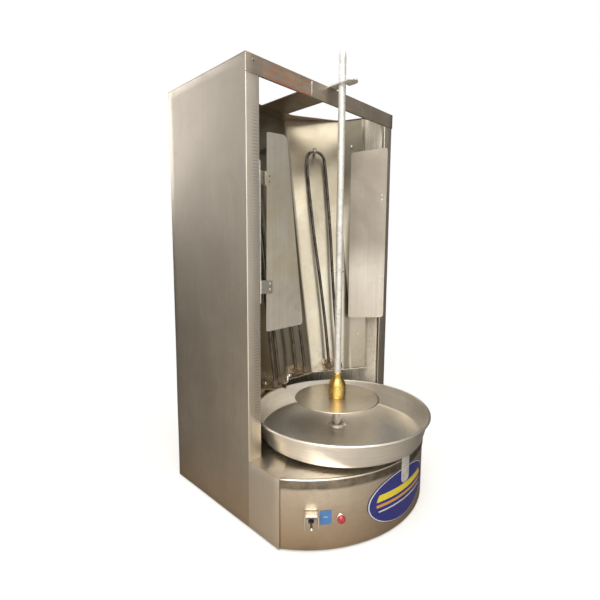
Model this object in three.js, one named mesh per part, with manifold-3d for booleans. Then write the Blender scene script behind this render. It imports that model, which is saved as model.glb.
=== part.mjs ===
// Vertical rotisserie broiler: open-fronted cabinet, three upright electric heaters on a
// faceted reflector, a motor-driven spit with its disc, a drip pan and two heat shields.
// Millimetres. +Z up, front is -Y. Origin at the centre of the footprint, on the floor.
import * as THREE from 'three';
import { mergeVertices } from 'three/addons/utils/BufferGeometryUtils.js';
import Module from 'manifold-3d';

const wasm = await Module();
wasm.setup();

// ---- driving dimensions; y is measured from the cabinet's rear plane, z from its lower edge
const WIDTH = 480;          // over the side panels
const HEIGHT = 931;         // lower edge of the sides to the top plate
const COLUMN_DEPTH = 293;   // rear plane to the front of the columns
const BASE_SIDE_DEPTH = 384.5; // rear plane to where the curved front begins
const BASE_HEIGHT = 144;
const SHEET = 1.5;          // stainless sheet
const GAP = 0.3;            // clearance between neighbouring pieces
const COLUMN_FLANGE = 32;
const COLUMN_HEM = 7;
const TOP_BAR = 35;         // drop of the top plate's front lip
const BASE_LIP = 18;        // drop of the base plate's front lip
const FRONT_RADIUS = 291.7; // curved base front
const FRONT_CENTRE_Y = -218.8;
const FOOT_HEIGHT = 4;
const FOOT_RADIUS = 14;

const SPIT_Y = -321;
const SPIT_RADIUS = 8;
const SPIT_TOP = 1006.8;
const DISC_TOP = 226.6;
const DISC_RADIUS = 100;
const DISC_THICK = 2;
const SHAFT_RADIUS = 9.5;
const SOCKET_RADIUS = 5.5;
const STUB_RADIUS = 5;
const STUB_LENGTH = 32;
const FERRULE_RADIUS = 20.5;
const FERRULE_NECK = 10.5;
const FERRULE_HEIGHT = 60;
const CROSS_PIN_Z = 524;
const CROSS_PIN_LENGTH = 34;

const PAN_Y = -334;
const PAN_RIM_RADIUS = 205;
const PAN_RIM_Z = 208;
const PAN_FLOOR_RADIUS = 188;
const PAN_FLOOR_Z = 154.6;
const PAN_SHEET = 1.4;

const REFLECTOR_TOP_Z = 924;
const REFLECTOR_FOOT_Z = 247;
const HEATER_RADIUS = 4;
const HEATER_STANDOFF = 20;
const PIVOT_Y = -275;       // support arm pivot
const ARM_THICK = 3;

const CORD_RADIUS = 4;
const CORD_REAR_Y = 40;     // how far the cord lies behind the cabinet
const PAN_FRONT_Y = PAN_Y - PAN_RIM_RADIUS - 0.2;
const CENTRE_Y = -(PAN_FRONT_Y + CORD_REAR_Y + CORD_RADIUS) / 2;

const INNER = WIDTH / 2 - SHEET - GAP; // half width between the side panels
const SIDE_TOP = HEIGHT - SHEET - GAP;

// ---- materials
const STEEL = [0xb8b2a6, 0.42, 0.9];
const DARK_STEEL = [0x6d675e, 0.5, 0.85];
const BRIGHT_STEEL = [0xcfcbc2, 0.28, 0.95];
const HEATER_OXIDE = [0x2e2a26, 0.65, 0.5];
const ZINC = [0xc9ccc8, 0.45, 0.8];
const BRASS = [0xc79a3e, 0.3, 0.95];
const CHROME = [0xdedede, 0.15, 1.0];
const CERAMIC = [0x3a2c24, 0.8, 0.0];
const RUBBER = [0x1c1c1c, 0.85, 0.0];
const PLASTIC = [0x222222, 0.5, 0.0];
const RED_LENS = [0xb01018, 0.2, 0.0];
const BLUE_PRINT = [0x2a5f9e, 0.5, 0.0];
const BADGE_BLUE = [0x26358f, 0.35, 0.0];
const MOTOR_GREY = [0x4b4f52, 0.55, 0.3];

const group = new THREE.Group();
group.name = 'vertical_broiler';

// ---- solid helpers
function toManifold(geometry) {
  const bare = geometry.clone();
  bare.deleteAttribute('normal');
  bare.deleteAttribute('uv');
  const welded = mergeVertices(bare, 1e-4);
  return new wasm.Manifold(new wasm.Mesh({
    numProp: 3,
    vertProperties: new Float32Array(welded.attributes.position.array),
    triVerts: new Uint32Array(welded.index.array),
  }));
}

function toGeometry(manifold) {
  const mesh = manifold.getMesh();
  const geometry = new THREE.BufferGeometry();
  geometry.setAttribute('position', new THREE.BufferAttribute(new Float32Array(mesh.vertProperties), 3));
  geometry.setIndex(new THREE.BufferAttribute(new Uint32Array(mesh.triVerts), 1));
  return geometry;
}

function union(...geometries) {
  return toGeometry(geometries.map(toManifold).reduce((sum, next) => sum.add(next)));
}

function cut(base, ...tools) {
  return toGeometry(tools.map(toManifold).reduce((left, tool) => left.subtract(tool), toManifold(base)));
}

function common(a, b) {
  return toGeometry(toManifold(a).intersect(toManifold(b)));
}

function box(x0, x1, y0, y1, z0, z1) {
  const geometry = new THREE.BoxGeometry(x1 - x0, y1 - y0, z1 - z0);
  return geometry.translate((x0 + x1) / 2, (y0 + y1) / 2, (z0 + z1) / 2);
}

function prism(points, z0, z1) {
  const shape = new THREE.Shape(points.map(([x, y]) => new THREE.Vector2(x, y)));
  return new THREE.ExtrudeGeometry(shape, { depth: z1 - z0, bevelEnabled: false }).translate(0, 0, z0);
}

function cylinder(radius, z0, z1, x, y, segments = 24) {
  const geometry = new THREE.CylinderGeometry(radius, radius, z1 - z0, segments);
  return geometry.rotateX(Math.PI / 2).translate(x, y, (z0 + z1) / 2);
}

function turned(profile, x, y, segments = 40) {
  const points = profile.map(([radius, z]) => new THREE.Vector2(radius, z));
  return new THREE.LatheGeometry(points, segments).rotateX(Math.PI / 2).translate(x, y, 0);
}

function tube(curve, radius, steps, sides = 5) {
  const ring = new THREE.Shape();
  ring.absarc(0, 0, radius, 0, Math.PI * 2, false);
  return new THREE.ExtrudeGeometry(ring, {
    steps, extrudePath: curve, curveSegments: sides, bevelEnabled: false,
  });
}

function bentRod(points, radius, bend, sides = 4) {
  const path = new THREE.CurvePath();
  let from = points[0];
  for (let i = 1; i < points.length - 1; i += 1) {
    const corner = points[i];
    const before = corner.clone().lerp(points[i - 1], bend / corner.distanceTo(points[i - 1]));
    const after = corner.clone().lerp(points[i + 1], bend / corner.distanceTo(points[i + 1]));
    path.add(new THREE.LineCurve3(from, before));
    path.add(new THREE.QuadraticBezierCurve3(before, corner, after));
    from = after;
  }
  path.add(new THREE.LineCurve3(from, points[points.length - 1]));
  return tube(path, radius, 30, sides);
}

function arcStrip(inner, outer, halfAngle, z0, z1, steps = 32) {
  const onArc = (radius, angle) => [radius * Math.sin(angle), FRONT_CENTRE_Y - radius * Math.cos(angle)];
  const points = [];
  for (let i = 0; i <= steps; i += 1) {
    points.push(onArc(outer, -halfAngle + (2 * halfAngle * i) / steps));
  }
  for (let i = steps; i >= 0; i -= 1) {
    points.push(onArc(inner, -halfAngle + (2 * halfAngle * i) / steps));
  }
  return prism(points, z0, z1);
}

function footprint(halfWidth, radius, rearY, steps = 32) {
  const reach = Math.asin(halfWidth / radius);
  const points = [[-halfWidth, rearY]];
  for (let i = 0; i <= steps; i += 1) {
    const angle = -reach + (2 * reach * i) / steps;
    points.push([radius * Math.sin(angle), FRONT_CENTRE_Y - radius * Math.cos(angle)]);
  }
  points.push([halfWidth, rearY]);
  return points;
}

// Constant-thickness sheet through a grid of rows; thickness is added behind the rows.
function foldedSheet(rows, thickness) {
  const cols = rows[0].length;
  const at = (r, c) => new THREE.Vector3(...rows[r][c]);
  const back = rows.map((row, r) => row.map((unused, c) => {
    const along = at(r, Math.min(c + 1, cols - 1)).sub(at(r, Math.max(c - 1, 0)));
    const up = at(Math.min(r + 1, rows.length - 1), c).sub(at(Math.max(r - 1, 0), c));
    return at(r, c).add(up.cross(along).normalize().multiplyScalar(thickness));
  }));
  const vertices = [];
  rows.forEach((row, r) => row.forEach((unused, c) => vertices.push(...at(r, c).toArray())));
  back.forEach((row) => row.forEach((point) => vertices.push(...point.toArray())));
  const front = (r, c) => r * cols + c;
  const rear = (r, c) => rows.length * cols + r * cols + c;
  const index = [];
  const quad = (a, b, c, d) => index.push(a, b, c, a, c, d);
  for (let r = 0; r < rows.length - 1; r += 1) {
    for (let c = 0; c < cols - 1; c += 1) {
      quad(front(r, c), front(r, c + 1), front(r + 1, c + 1), front(r + 1, c));
      quad(rear(r, c), rear(r + 1, c), rear(r + 1, c + 1), rear(r, c + 1));
    }
    quad(front(r, 0), front(r + 1, 0), rear(r + 1, 0), rear(r, 0));
    quad(front(r, cols - 1), rear(r, cols - 1), rear(r + 1, cols - 1), front(r + 1, cols - 1));
  }
  const last = rows.length - 1;
  for (let c = 0; c < cols - 1; c += 1) {
    quad(front(0, c), rear(0, c), rear(0, c + 1), front(0, c + 1));
    quad(front(last, c), front(last, c + 1), rear(last, c + 1), rear(last, c));
  }
  const geometry = new THREE.BufferGeometry();
  geometry.setAttribute('position', new THREE.Float32BufferAttribute(vertices, 3));
  geometry.setIndex(index);
  return geometry;
}

function add(name, geometry, [color, roughness, metalness]) {
  const placed = geometry.clone().translate(0, CENTRE_Y, FOOT_HEIGHT);
  placed.computeVertexNormals();
  const mesh = new THREE.Mesh(placed, new THREE.MeshStandardMaterial({ color, roughness, metalness }));
  mesh.name = name;
  group.add(mesh);
}

// ---- cabinet shell
function sidePanel(side) {
  const outer = (WIDTH / 2) * side;
  const span = (a, b) => [Math.min(a, b), Math.max(a, b)];
  const skin = span(outer, outer - SHEET * side);
  const flange = span(outer, outer - COLUMN_FLANGE * side);
  const hem = span(outer - (COLUMN_FLANGE - SHEET) * side, outer - COLUMN_FLANGE * side);
  return union(
    box(...skin, -BASE_SIDE_DEPTH, 0, 0, BASE_HEIGHT),
    box(...skin, -COLUMN_DEPTH, 0, BASE_HEIGHT - 1, SIDE_TOP),
    box(...flange, -COLUMN_DEPTH, -COLUMN_DEPTH + SHEET, BASE_HEIGHT + GAP, SIDE_TOP),
    box(...hem, -COLUMN_DEPTH, -COLUMN_DEPTH + COLUMN_HEM, BASE_HEIGHT + GAP, SIDE_TOP),
  );
}

const TOP_OPENING = [
  [43, -97], [60, -100], [171, -157], [193, -190], [204, -229], [204, -250], [43, -250],
];

function topFrame() {
  const front = -COLUMN_DEPTH - SHEET - GAP;
  const plate = box(-WIDTH / 2, WIDTH / 2, front, 0, HEIGHT - SHEET, HEIGHT);
  const lip = box(-WIDTH / 2, WIDTH / 2, front, front + SHEET, HEIGHT - TOP_BAR, HEIGHT);
  const tab = box(-53, -42, -184, -172, HEIGHT - SHEET, HEIGHT);
  const mirrored = TOP_OPENING.map(([x, y]) => [-x, y]).reverse();
  const open = cut(
    union(plate, lip),
    prism(TOP_OPENING, HEIGHT - 5, HEIGHT + 5),
    prism(mirrored, HEIGHT - 5, HEIGHT + 5),
    cylinder(3.2, HEIGHT - 5, HEIGHT + 5, 0, PIVOT_Y, 16),
  );
  return union(open, tab);
}

function rearPanel() {
  const slots = [];
  for (const z of [52, 72, 92]) {
    for (let i = 0; i < 6; i += 1) {
      slots.push(box(-190 + i * 34, -166 + i * 34, -SHEET - 1, 1, z, z + 6));
    }
  }
  const cordHole = cylinder(8.4, -1, SHEET + 1, 150, 60, 24).rotateX(Math.PI / 2);
  return cut(box(-INNER, INNER, -SHEET, 0, 0, SIDE_TOP), cordHole, ...slots);
}

function baseTopPlate() {
  const rearY = -SHEET - GAP;
  const lipHalf = Math.asin(INNER / FRONT_RADIUS);
  const plate = prism(footprint(INNER, FRONT_RADIUS, rearY), BASE_HEIGHT - SHEET, BASE_HEIGHT);
  const lip = arcStrip(FRONT_RADIUS - SHEET, FRONT_RADIUS, lipHalf, BASE_HEIGHT - BASE_LIP, BASE_HEIGHT);
  const shaftHole = cylinder(SHAFT_RADIUS + 3, BASE_HEIGHT - 5, BASE_HEIGHT + 5, 0, SPIT_Y, 32);
  return cut(union(plate, lip), shaftHole);
}

const PANEL_FACE = FRONT_RADIUS - SHEET - GAP; // outer face radius of the curved front panel

function onFront(angleDeg, z, out = 0, along = 0) {
  const angle = THREE.MathUtils.degToRad(angleDeg);
  const radius = PANEL_FACE + out;
  return new THREE.Vector3(
    radius * Math.sin(angle) + along * Math.cos(angle),
    FRONT_CENTRE_Y - radius * Math.cos(angle) + along * Math.sin(angle),
    z,
  );
}

// Places geometry built with +X along the panel, +Y out of it and +Z up.
function mountOnFront(geometry, angleDeg, z) {
  const angle = THREE.MathUtils.degToRad(angleDeg);
  const along = new THREE.Vector3(Math.cos(angle), Math.sin(angle), 0);
  const out = new THREE.Vector3(Math.sin(angle), -Math.cos(angle), 0);
  const frame = new THREE.Matrix4().makeBasis(along.negate(), out, new THREE.Vector3(0, 0, 1));
  frame.setPosition(onFront(angleDeg, z));
  return geometry.clone().applyMatrix4(frame);
}

// Cylinder whose axis points out of the curved panel.
function stud(radius, out0, out1, segments = 24) {
  const geometry = new THREE.CylinderGeometry(radius, radius, out1 - out0, segments);
  return geometry.translate(0, (out0 + out1) / 2, 0);
}

const SWITCH_ANGLE = -43.3;
const SWITCH_Z = 64;
const LAMP_ANGLE = -31.7;
const LAMP_Z = 62;
const LABEL_ANGLE = -37.8;
const LABEL_Z = 67;

function baseFrontPanel() {
  const half = Math.asin((INNER - GAP) / PANEL_FACE);
  const panel = arcStrip(PANEL_FACE - SHEET, PANEL_FACE, half, 0, BASE_HEIGHT - SHEET - GAP);
  return cut(
    panel,
    mountOnFront(stud(6.3, -10, 10), SWITCH_ANGLE, SWITCH_Z),
    mountOnFront(stud(6.3, -10, 10), LAMP_ANGLE, LAMP_Z),
  );
}

function cabinet() {
  add('side_panel_left', sidePanel(-1), STEEL);
  add('side_panel_right', sidePanel(1), STEEL);
  add('top_frame', topFrame(), STEEL);
  add('rear_panel', rearPanel(), STEEL);
  add('base_top_plate', baseTopPlate(), STEEL);
  add('base_front_panel', baseFrontPanel(), STEEL);
  const bottomRadius = PANEL_FACE - SHEET - GAP;
  const bottom = footprint(INNER - GAP, bottomRadius, -SHEET - GAP);
  add('base_bottom_plate', prism(bottom, 0, SHEET), DARK_STEEL);
  const feet = {
    rear_left: [-205, -40], rear_right: [205, -40], front_left: [-190, -360], front_right: [190, -360],
  };
  for (const [place, [x, y]] of Object.entries(feet)) {
    const profile = [[0, -FOOT_HEIGHT], [FOOT_RADIUS - 2, -FOOT_HEIGHT], [FOOT_RADIUS, -GAP], [0, -GAP]];
    add(`foot_${place}`, turned(profile, x, y, 24), RUBBER);
  }
}

// ---- chamber and reflector
const LINER_LINE = [
  [-209, -284.5], [-207, -227], [-180, -153], [-73, -52], [73, -52], [180, -153], [207, -227], [209, -284.5],
];
const REFLECTOR_TOP = [[-202, -228], [-177, -157], [-72, -57], [72, -57], [177, -157], [202, -228]];
const REFLECTOR_FOOT = [[-203, -256], [-164, -235], [-60, -180], [60, -180], [164, -235], [203, -256]];
const REFLECTOR_LIP = [[-198, -259], [-161, -241], [-58, -187], [58, -187], [161, -241], [198, -259]];

function chamber() {
  const row = (line, z) => line.map(([x, y]) => [x, y, z]);
  const liner = [row(LINER_LINE, BASE_HEIGHT + GAP), row(LINER_LINE, HEIGHT - SHEET - GAP)];
  add('chamber_liner', foldedSheet(liner, SHEET), STEEL);
  const reflector = [
    row(REFLECTOR_LIP, REFLECTOR_FOOT_Z - 1),
    row(REFLECTOR_FOOT, REFLECTOR_FOOT_Z),
    row(REFLECTOR_TOP, REFLECTOR_TOP_Z),
    row(REFLECTOR_TOP, SIDE_TOP),
  ];
  add('heat_reflector', foldedSheet(reflector, SHEET), BRIGHT_STEEL);
}

// Frame on a reflector facet: s across, out towards the spit, t from 0 (foot) to 1 (top).
function facetPoint(facet, s, out, t) {
  const edge = (line, z) => [facet, facet + 1].map((i) => new THREE.Vector3(line[i][0], line[i][1], z));
  const foot = edge(REFLECTOR_FOOT, REFLECTOR_FOOT_Z);
  const top = edge(REFLECTOR_TOP, REFLECTOR_TOP_Z);
  const low = foot[0].clone().add(foot[1]).multiplyScalar(0.5);
  const high = top[0].clone().add(top[1]).multiplyScalar(0.5);
  const rise = high.clone().sub(low).normalize();
  const across = foot[1].clone().sub(foot[0]).lerp(top[1].clone().sub(top[0]), t).normalize();
  const normal = across.clone().cross(rise).normalize();
  return low.lerp(high, t).addScaledVector(across, s).addScaledVector(normal, out);
}

// Placement on a facet: +X across it to the left, +Y out towards the spit, +Z up it.
function facetFrame(facet, t) {
  const origin = facetPoint(facet, 0, 0, t);
  const across = origin.clone().sub(facetPoint(facet, 1, 0, t));
  const out = facetPoint(facet, 0, 1, t).sub(origin);
  const frame = new THREE.Matrix4().makeBasis(across, out, across.clone().cross(out));
  return frame.setPosition(origin);
}

// Heater outline across the facet: [half spacing, height fraction].
const LEG_FOOT = [[15, 0.004], [15, 0.08]];
const HEATER_LEGS = [[15, 0.2], [18, 0.37], [22.5, 0.53], [24.5, 0.69], [24.5, 0.8]];
const HEATER_CROWN = [[23.2, 0.841], [18.4, 0.8585], [10.5, 0.8695]];
const HEATER_TOP = 0.872;
const CENTRE = 2;             // the facet whose left leg bends over into the lead
const BENT_FOOT = [[35, 0.014], [27, 0.016], [18.5, 0.032], [15.5, 0.07]];

function heater(facet) {
  const onFacet = (side, points) => points.map(([s, t]) => facetPoint(facet, side * s, HEATER_STANDOFF, t));
  const rest = [...HEATER_LEGS, ...HEATER_CROWN];
  const left = onFacet(-1, [...(facet === CENTRE ? BENT_FOOT : LEG_FOOT), ...rest]);
  const right = onFacet(1, [...LEG_FOOT, ...rest]);
  const crown = facetPoint(facet, 0, HEATER_STANDOFF, HEATER_TOP);
  const curve = new THREE.CatmullRomCurve3([...left, crown, ...right.reverse()], false, 'catmullrom', 0.5);
  return tube(curve, HEATER_RADIUS, 60, 5);
}

// Height of the sheet over the mean plane of each facet: the side facets are slightly twisted.
const CLIP_SEAT = [0, -1.35, 0.35, 2.3];
const FOOT_SEAT = [0, 0.2, 0.35, 1.2];

function heaterClip(facet) {
  const seat = CLIP_SEAT[facet];
  const reach = HEATER_STANDOFF + HEATER_RADIUS + 0.4;
  const low = HEATER_RADIUS + 0.8;
  const hook = [
    [seat, low + 11], [seat + 1.6, low + 11], [seat + 1.6, low + 2], [reach + 2, low + 2],
    [reach + 2, -8], [reach, -8], [reach, low], [seat, low],
  ];
  const strip = prism(hook, -3.2, 3.2).applyMatrix4(new THREE.Matrix4().makeBasis(
    new THREE.Vector3(0, 1, 0), new THREE.Vector3(0, 0, 1), new THREE.Vector3(1, 0, 0),
  ));
  return strip.applyMatrix4(facetFrame(facet, HEATER_TOP));
}

// Plate on the reflector with a shelf, and a bushing on the shelf round each straight leg.
const FOOT_HALF = 26;
const BUSHING_RADIUS = 7.5;

function heaterFoot(facet) {
  const legs = facet === CENTRE ? [1] : [-1, 1];
  const shelfEnd = facet === CENTRE ? -4 : FOOT_HALF;
  const seat = FOOT_SEAT[facet];
  const plate = box(-FOOT_HALF, FOOT_HALF + 4, seat, seat + 1.4, 6, 30);
  const shelf = box(-FOOT_HALF, shelfEnd, seat, 28, 6, 7.5);
  const bushings = legs.map((side) => cylinder(BUSHING_RADIUS, 7, 21, -15 * side, HEATER_STANDOFF, 20));
  const holes = legs.map((side) => {
    const ends = [0, 0.05].map((t) => facetPoint(facet, 15 * side, HEATER_STANDOFF, t));
    return tube(new THREE.LineCurve3(...ends), HEATER_RADIUS + 0.5, 1, 8);
  });
  return cut(union(plate, shelf, ...bushings).applyMatrix4(facetFrame(facet, 0)), ...holes);
}

// Bright lead from the end of the bent leg to its bracket.
function heaterLead() {
  const start = facetPoint(CENTRE, -35 - 3 * GAP, HEATER_STANDOFF, 0.014);
  const path = [
    start, start.clone().add(new THREE.Vector3(-9, 0, -0.6)),
    new THREE.Vector3(-56, -208, 251), new THREE.Vector3(-67.8, -211, 250),
  ];
  return tube(new THREE.CatmullRomCurve3(path), 2.6, 14, 4);
}

function heaters() {
  const facets = { left: 1, centre: 2, right: 3 };
  for (const [place, facet] of Object.entries(facets)) {
    add(`heater_element_${place}`, heater(facet), HEATER_OXIDE);
    add(`heater_clip_${place}`, heaterClip(facet), DARK_STEEL);
    add(`heater_foot_${place}`, heaterFoot(facet), CERAMIC);
  }
  add('heater_lead', heaterLead(), CHROME);
  const upright = box(-70.5, -69, -218, -204, 238, 258);
  add('lead_bracket', union(upright, box(-70.5, -69, -204.5, -189.5, 246.9, 258)), CHROME);
}

// ---- heat shields
function roundedQuad(corners, radii) {
  const shape = new THREE.Shape();
  corners.forEach((corner, i) => {
    const here = new THREE.Vector2(...corner);
    const before = new THREE.Vector2(...corners[(i + 3) % 4]);
    const after = new THREE.Vector2(...corners[(i + 1) % 4]);
    const start = here.clone().lerp(before, radii[i] / here.distanceTo(before));
    const end = here.clone().lerp(after, radii[i] / here.distanceTo(after));
    if (i === 0) {
      shape.moveTo(start.x, start.y);
    } else {
      shape.lineTo(start.x, start.y);
    }
    shape.quadraticCurveTo(here.x, here.y, end.x, end.y);
  });
  return shape;
}

const SHIELD_THICK = 1.2;
const LEFT_SHIELD_Y = -283.8;
const LEFT_SHIELD = [[-185.5, 404], [-80, 407.5], [-129.5, 807], [-182.5, 803]]; // x, z
const LEFT_PIVOT = [-199, -281];
const RIGHT_SHIELD = [[-3.5, 394], [91, 390], [91, 830], [-3.5, 841]]; // from the pivot along the plate, z
const RIGHT_PIVOT = [209.5, -299];
const RIGHT_SHIELD_OFFSET = 4.9; // pivot to the plate's rear face
const RIGHT_SHIELD_TURN = THREE.MathUtils.degToRad(125.3);
const CLIP_SPAN = 27;
const CLIP_LOWS = { lower: 484, upper: 700 };
const HINGE_ROD = 2.5;
const CLIP_BORE = 2.9;
const CLIP_OUTER = 4.4;

function leftShield() {
  const plate = new THREE.ExtrudeGeometry(roundedQuad(LEFT_SHIELD, [4, 9, 14, 4]), {
    depth: SHIELD_THICK, bevelEnabled: false, curveSegments: 6,
  });
  return plate.rotateX(Math.PI / 2).translate(0, LEFT_SHIELD_Y + SHIELD_THICK, 0);
}

function rightShield() {
  const plate = new THREE.ExtrudeGeometry(roundedQuad(RIGHT_SHIELD, [9, 6, 6, 9]), {
    depth: SHIELD_THICK, bevelEnabled: false, curveSegments: 6,
  });
  return atRightPivot(plate.rotateX(Math.PI / 2).translate(0, RIGHT_SHIELD_OFFSET + SHIELD_THICK, 0));
}

// Turns geometry built with +X along the right shield and +Y towards the spit.
function atRightPivot(geometry) {
  const [x, y] = RIGHT_PIVOT;
  return geometry.rotateZ(RIGHT_SHIELD_TURN).translate(x, y, 0);
}

function shieldClip([x, y], tab, z) {
  const barrel = union(cylinder(CLIP_OUTER, z, z + CLIP_SPAN, x, y, 20), tab(z));
  return cut(barrel, cylinder(CLIP_BORE, z - 1, z + CLIP_SPAN + 1, x, y, 20));
}

function shields() {
  add('shield_left', leftShield(), BRIGHT_STEEL);
  add('shield_right', rightShield(), BRIGHT_STEEL);
  const [lx, ly] = LEFT_PIVOT;
  const [rx, ry] = RIGHT_PIVOT;
  const leftTab = (z) => box(lx, -170, ly - CLIP_OUTER, ly - CLIP_OUTER + 1.1, z, z + CLIP_SPAN);
  const rightTab = (z) => atRightPivot(box(0, 20, CLIP_OUTER - 1, CLIP_OUTER, z, z + CLIP_SPAN));
  for (const [place, z] of Object.entries(CLIP_LOWS)) {
    add(`shield_left_clip_${place}`, shieldClip(LEFT_PIVOT, leftTab, z), BRIGHT_STEEL);
    add(`shield_right_clip_${place}`, shieldClip(RIGHT_PIVOT, rightTab, z), BRIGHT_STEEL);
  }
  const low = CLIP_LOWS.lower - 20;
  const high = CLIP_LOWS.upper + CLIP_SPAN + 20;
  const staple = (x, y, dx, dy) => [
    new THREE.Vector3(x + dx, y + dy, low), new THREE.Vector3(x, y, low),
    new THREE.Vector3(x, y, high), new THREE.Vector3(x + dx, y + dy, high),
  ];
  add('shield_rod_left', bentRod(staple(lx, ly, -9.5, 0), HINGE_ROD, 4), ZINC);
  add('shield_rod_right', bentRod(staple(rx, ry, 0, 5.6), HINGE_ROD, 2.6), ZINC);
}

// ---- spit, disc, drive
function spit() {
  const bottom = DISC_TOP + GAP;
  const rod = turned([
    [0, bottom - STUB_LENGTH], [STUB_RADIUS, bottom - STUB_LENGTH], [STUB_RADIUS, bottom],
    [SPIT_RADIUS, bottom], [SPIT_RADIUS, SPIT_TOP - 14], [SPIT_RADIUS - 1.2, SPIT_TOP - 9],
    [SPIT_RADIUS - 4.6, SPIT_TOP - 1], [SPIT_RADIUS - 5.6, SPIT_TOP], [0, SPIT_TOP],
  ], 0, SPIT_Y, 28);
  const across = (radius, length, z, segments) => new THREE.CylinderGeometry(radius, radius, length, segments)
    .rotateZ(Math.PI / 2).translate(0, SPIT_Y, z);
  const holes = [CROSS_PIN_Z, 472, 446, 418].map((z) => across(1.5, 40, z, 10));
  add('spit_rod', cut(rod, ...holes), ZINC);
  add('spit_cross_pin', across(1.2, CROSS_PIN_LENGTH, CROSS_PIN_Z, 10), BRIGHT_STEEL);
  const bore = SPIT_RADIUS + GAP;
  add('spit_ferrule', turned([
    [bore, bottom], [18.6, bottom], [FERRULE_RADIUS - 0.8, bottom + 3], [FERRULE_RADIUS, bottom + 9],
    [FERRULE_RADIUS, bottom + 30], [FERRULE_RADIUS - 2.4, bottom + 37], [FERRULE_NECK + 3.6, bottom + 44],
    [FERRULE_NECK + 0.8, bottom + 48], [FERRULE_NECK, bottom + 52],
    [FERRULE_NECK, bottom + FERRULE_HEIGHT - 1],
    [FERRULE_NECK - 0.9, bottom + FERRULE_HEIGHT], [bore, bottom + FERRULE_HEIGHT], [bore, bottom],
  ], 0, SPIT_Y, 32), BRASS);
  add('meat_disc', turned([
    [STUB_RADIUS + GAP, DISC_TOP - DISC_THICK], [DISC_RADIUS - 0.6, DISC_TOP - DISC_THICK],
    [DISC_RADIUS, DISC_TOP - DISC_THICK / 2], [DISC_RADIUS - 0.6, DISC_TOP],
    [STUB_RADIUS + GAP, DISC_TOP], [STUB_RADIUS + GAP, DISC_TOP - DISC_THICK],
  ], 0, SPIT_Y, 72), STEEL);
}

function drive() {
  const shaftTop = DISC_TOP - DISC_THICK - GAP;
  const socketFloor = shaftTop - STUB_LENGTH - 2;
  add('drive_shaft', turned([
    [0, 92], [SHAFT_RADIUS, 92], [SHAFT_RADIUS, shaftTop], [SOCKET_RADIUS, shaftTop],
    [SOCKET_RADIUS, socketFloor], [0, socketFloor],
  ], 0, SPIT_Y, 32), BRIGHT_STEEL);
  const bore = SHAFT_RADIUS + GAP;
  const under = BASE_HEIGHT - SHEET - GAP;
  add('shaft_bearing', turned([
    [bore, under - 16], [16, under - 16], [16, under - 5], [30, under - 5], [30, under],
    [bore, under], [bore, under - 16],
  ], 0, SPIT_Y, 32), DARK_STEEL);
  const gearbox = box(-42, 42, SPIT_Y - 42, SPIT_Y + 42, 42, 91.4);
  const can = new THREE.CylinderGeometry(33, 33, 96, 32).rotateZ(Math.PI / 2).translate(-89, SPIT_Y, 78);
  add('gearmotor', union(gearbox, can), MOTOR_GREY);
  const shelf = box(-60, 60, SPIT_Y - 50, SPIT_Y + 50, 38.6, 41.4);
  const legs = [-60, 57].map((x) => box(x, x + 3, SPIT_Y - 50, SPIT_Y + 50, SHEET + GAP, 41.4));
  add('motor_bracket', union(shelf, ...legs), DARK_STEEL);
  add('terminal_block', box(60, 130, -70, -46, SHEET + GAP, 26), CERAMIC);
}

function dripPan() {
  const floor = PAN_FLOOR_Z;
  const inner = PAN_SHEET;
  const body = turned([
    [0, floor], [PAN_FLOOR_RADIUS - 5, floor], [PAN_FLOOR_RADIUS, floor + 4],
    [PAN_RIM_RADIUS - 5, PAN_RIM_Z - 5], [PAN_RIM_RADIUS - 1.4, PAN_RIM_Z - 5.4],
    [PAN_RIM_RADIUS, PAN_RIM_Z - 3.2], [PAN_RIM_RADIUS - 0.6, PAN_RIM_Z - 0.8],
    [PAN_RIM_RADIUS - 3, PAN_RIM_Z], [PAN_RIM_RADIUS - 5.6, PAN_RIM_Z - 1.4],
    [PAN_FLOOR_RADIUS - inner, floor + 4.6], [PAN_FLOOR_RADIUS - 5.4, floor + inner], [0, floor + inner],
  ], 0, PAN_Y, 80);
  const collar = cylinder(19.5, floor, floor + 9, 0, SPIT_Y, 36);
  const hole = cylinder(SHAFT_RADIUS + 2, floor - 5, floor + 20, 0, SPIT_Y, 36);
  return cut(union(body, collar), hole);
}

function pan() {
  add('drip_pan', dripPan(), BRIGHT_STEEL);
  const low = BASE_HEIGHT + GAP;
  const high = PAN_FLOOR_Z - GAP;
  add('pan_support_ring', turned([
    [30, low], [62, low], [62, high], [30, high], [30, low],
  ], 0, SPIT_Y, 48), DARK_STEEL);
}

// ---- top support arm
function supportArm() {
  const z0 = HEIGHT + GAP;
  const half = 12.5;
  const rear = PIVOT_Y + 12;
  const front = SPIT_Y - 40;
  const outline = [
    [-half, rear - 5], [-half + 5, rear], [half - 5, rear], [half, rear - 5], [half, SPIT_Y + 14],
    [4, SPIT_Y + 9.6], [-4, SPIT_Y + 8.6], [-8, SPIT_Y + 4], [-8.8, SPIT_Y], [-8, SPIT_Y - 4],
    [-4, SPIT_Y - 8], [0, SPIT_Y - 9], [half, SPIT_Y - 9], [half + 2, SPIT_Y - 16],
    [half + 1, front + 9], [half - 5, front + 2], [0, front], [-half + 4, front + 2], [-half - 1, front + 10],
  ];
  const pivotHole = cylinder(3.3, z0 - 1, z0 + 9, 0, PIVOT_Y, 20);
  const screwHole = cylinder(2.3, z0 - 1, z0 + 9, 0, SPIT_Y - 27, 16);
  return cut(prism(outline.reverse(), z0, z0 + ARM_THICK), pivotHole, screwHole);
}

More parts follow.
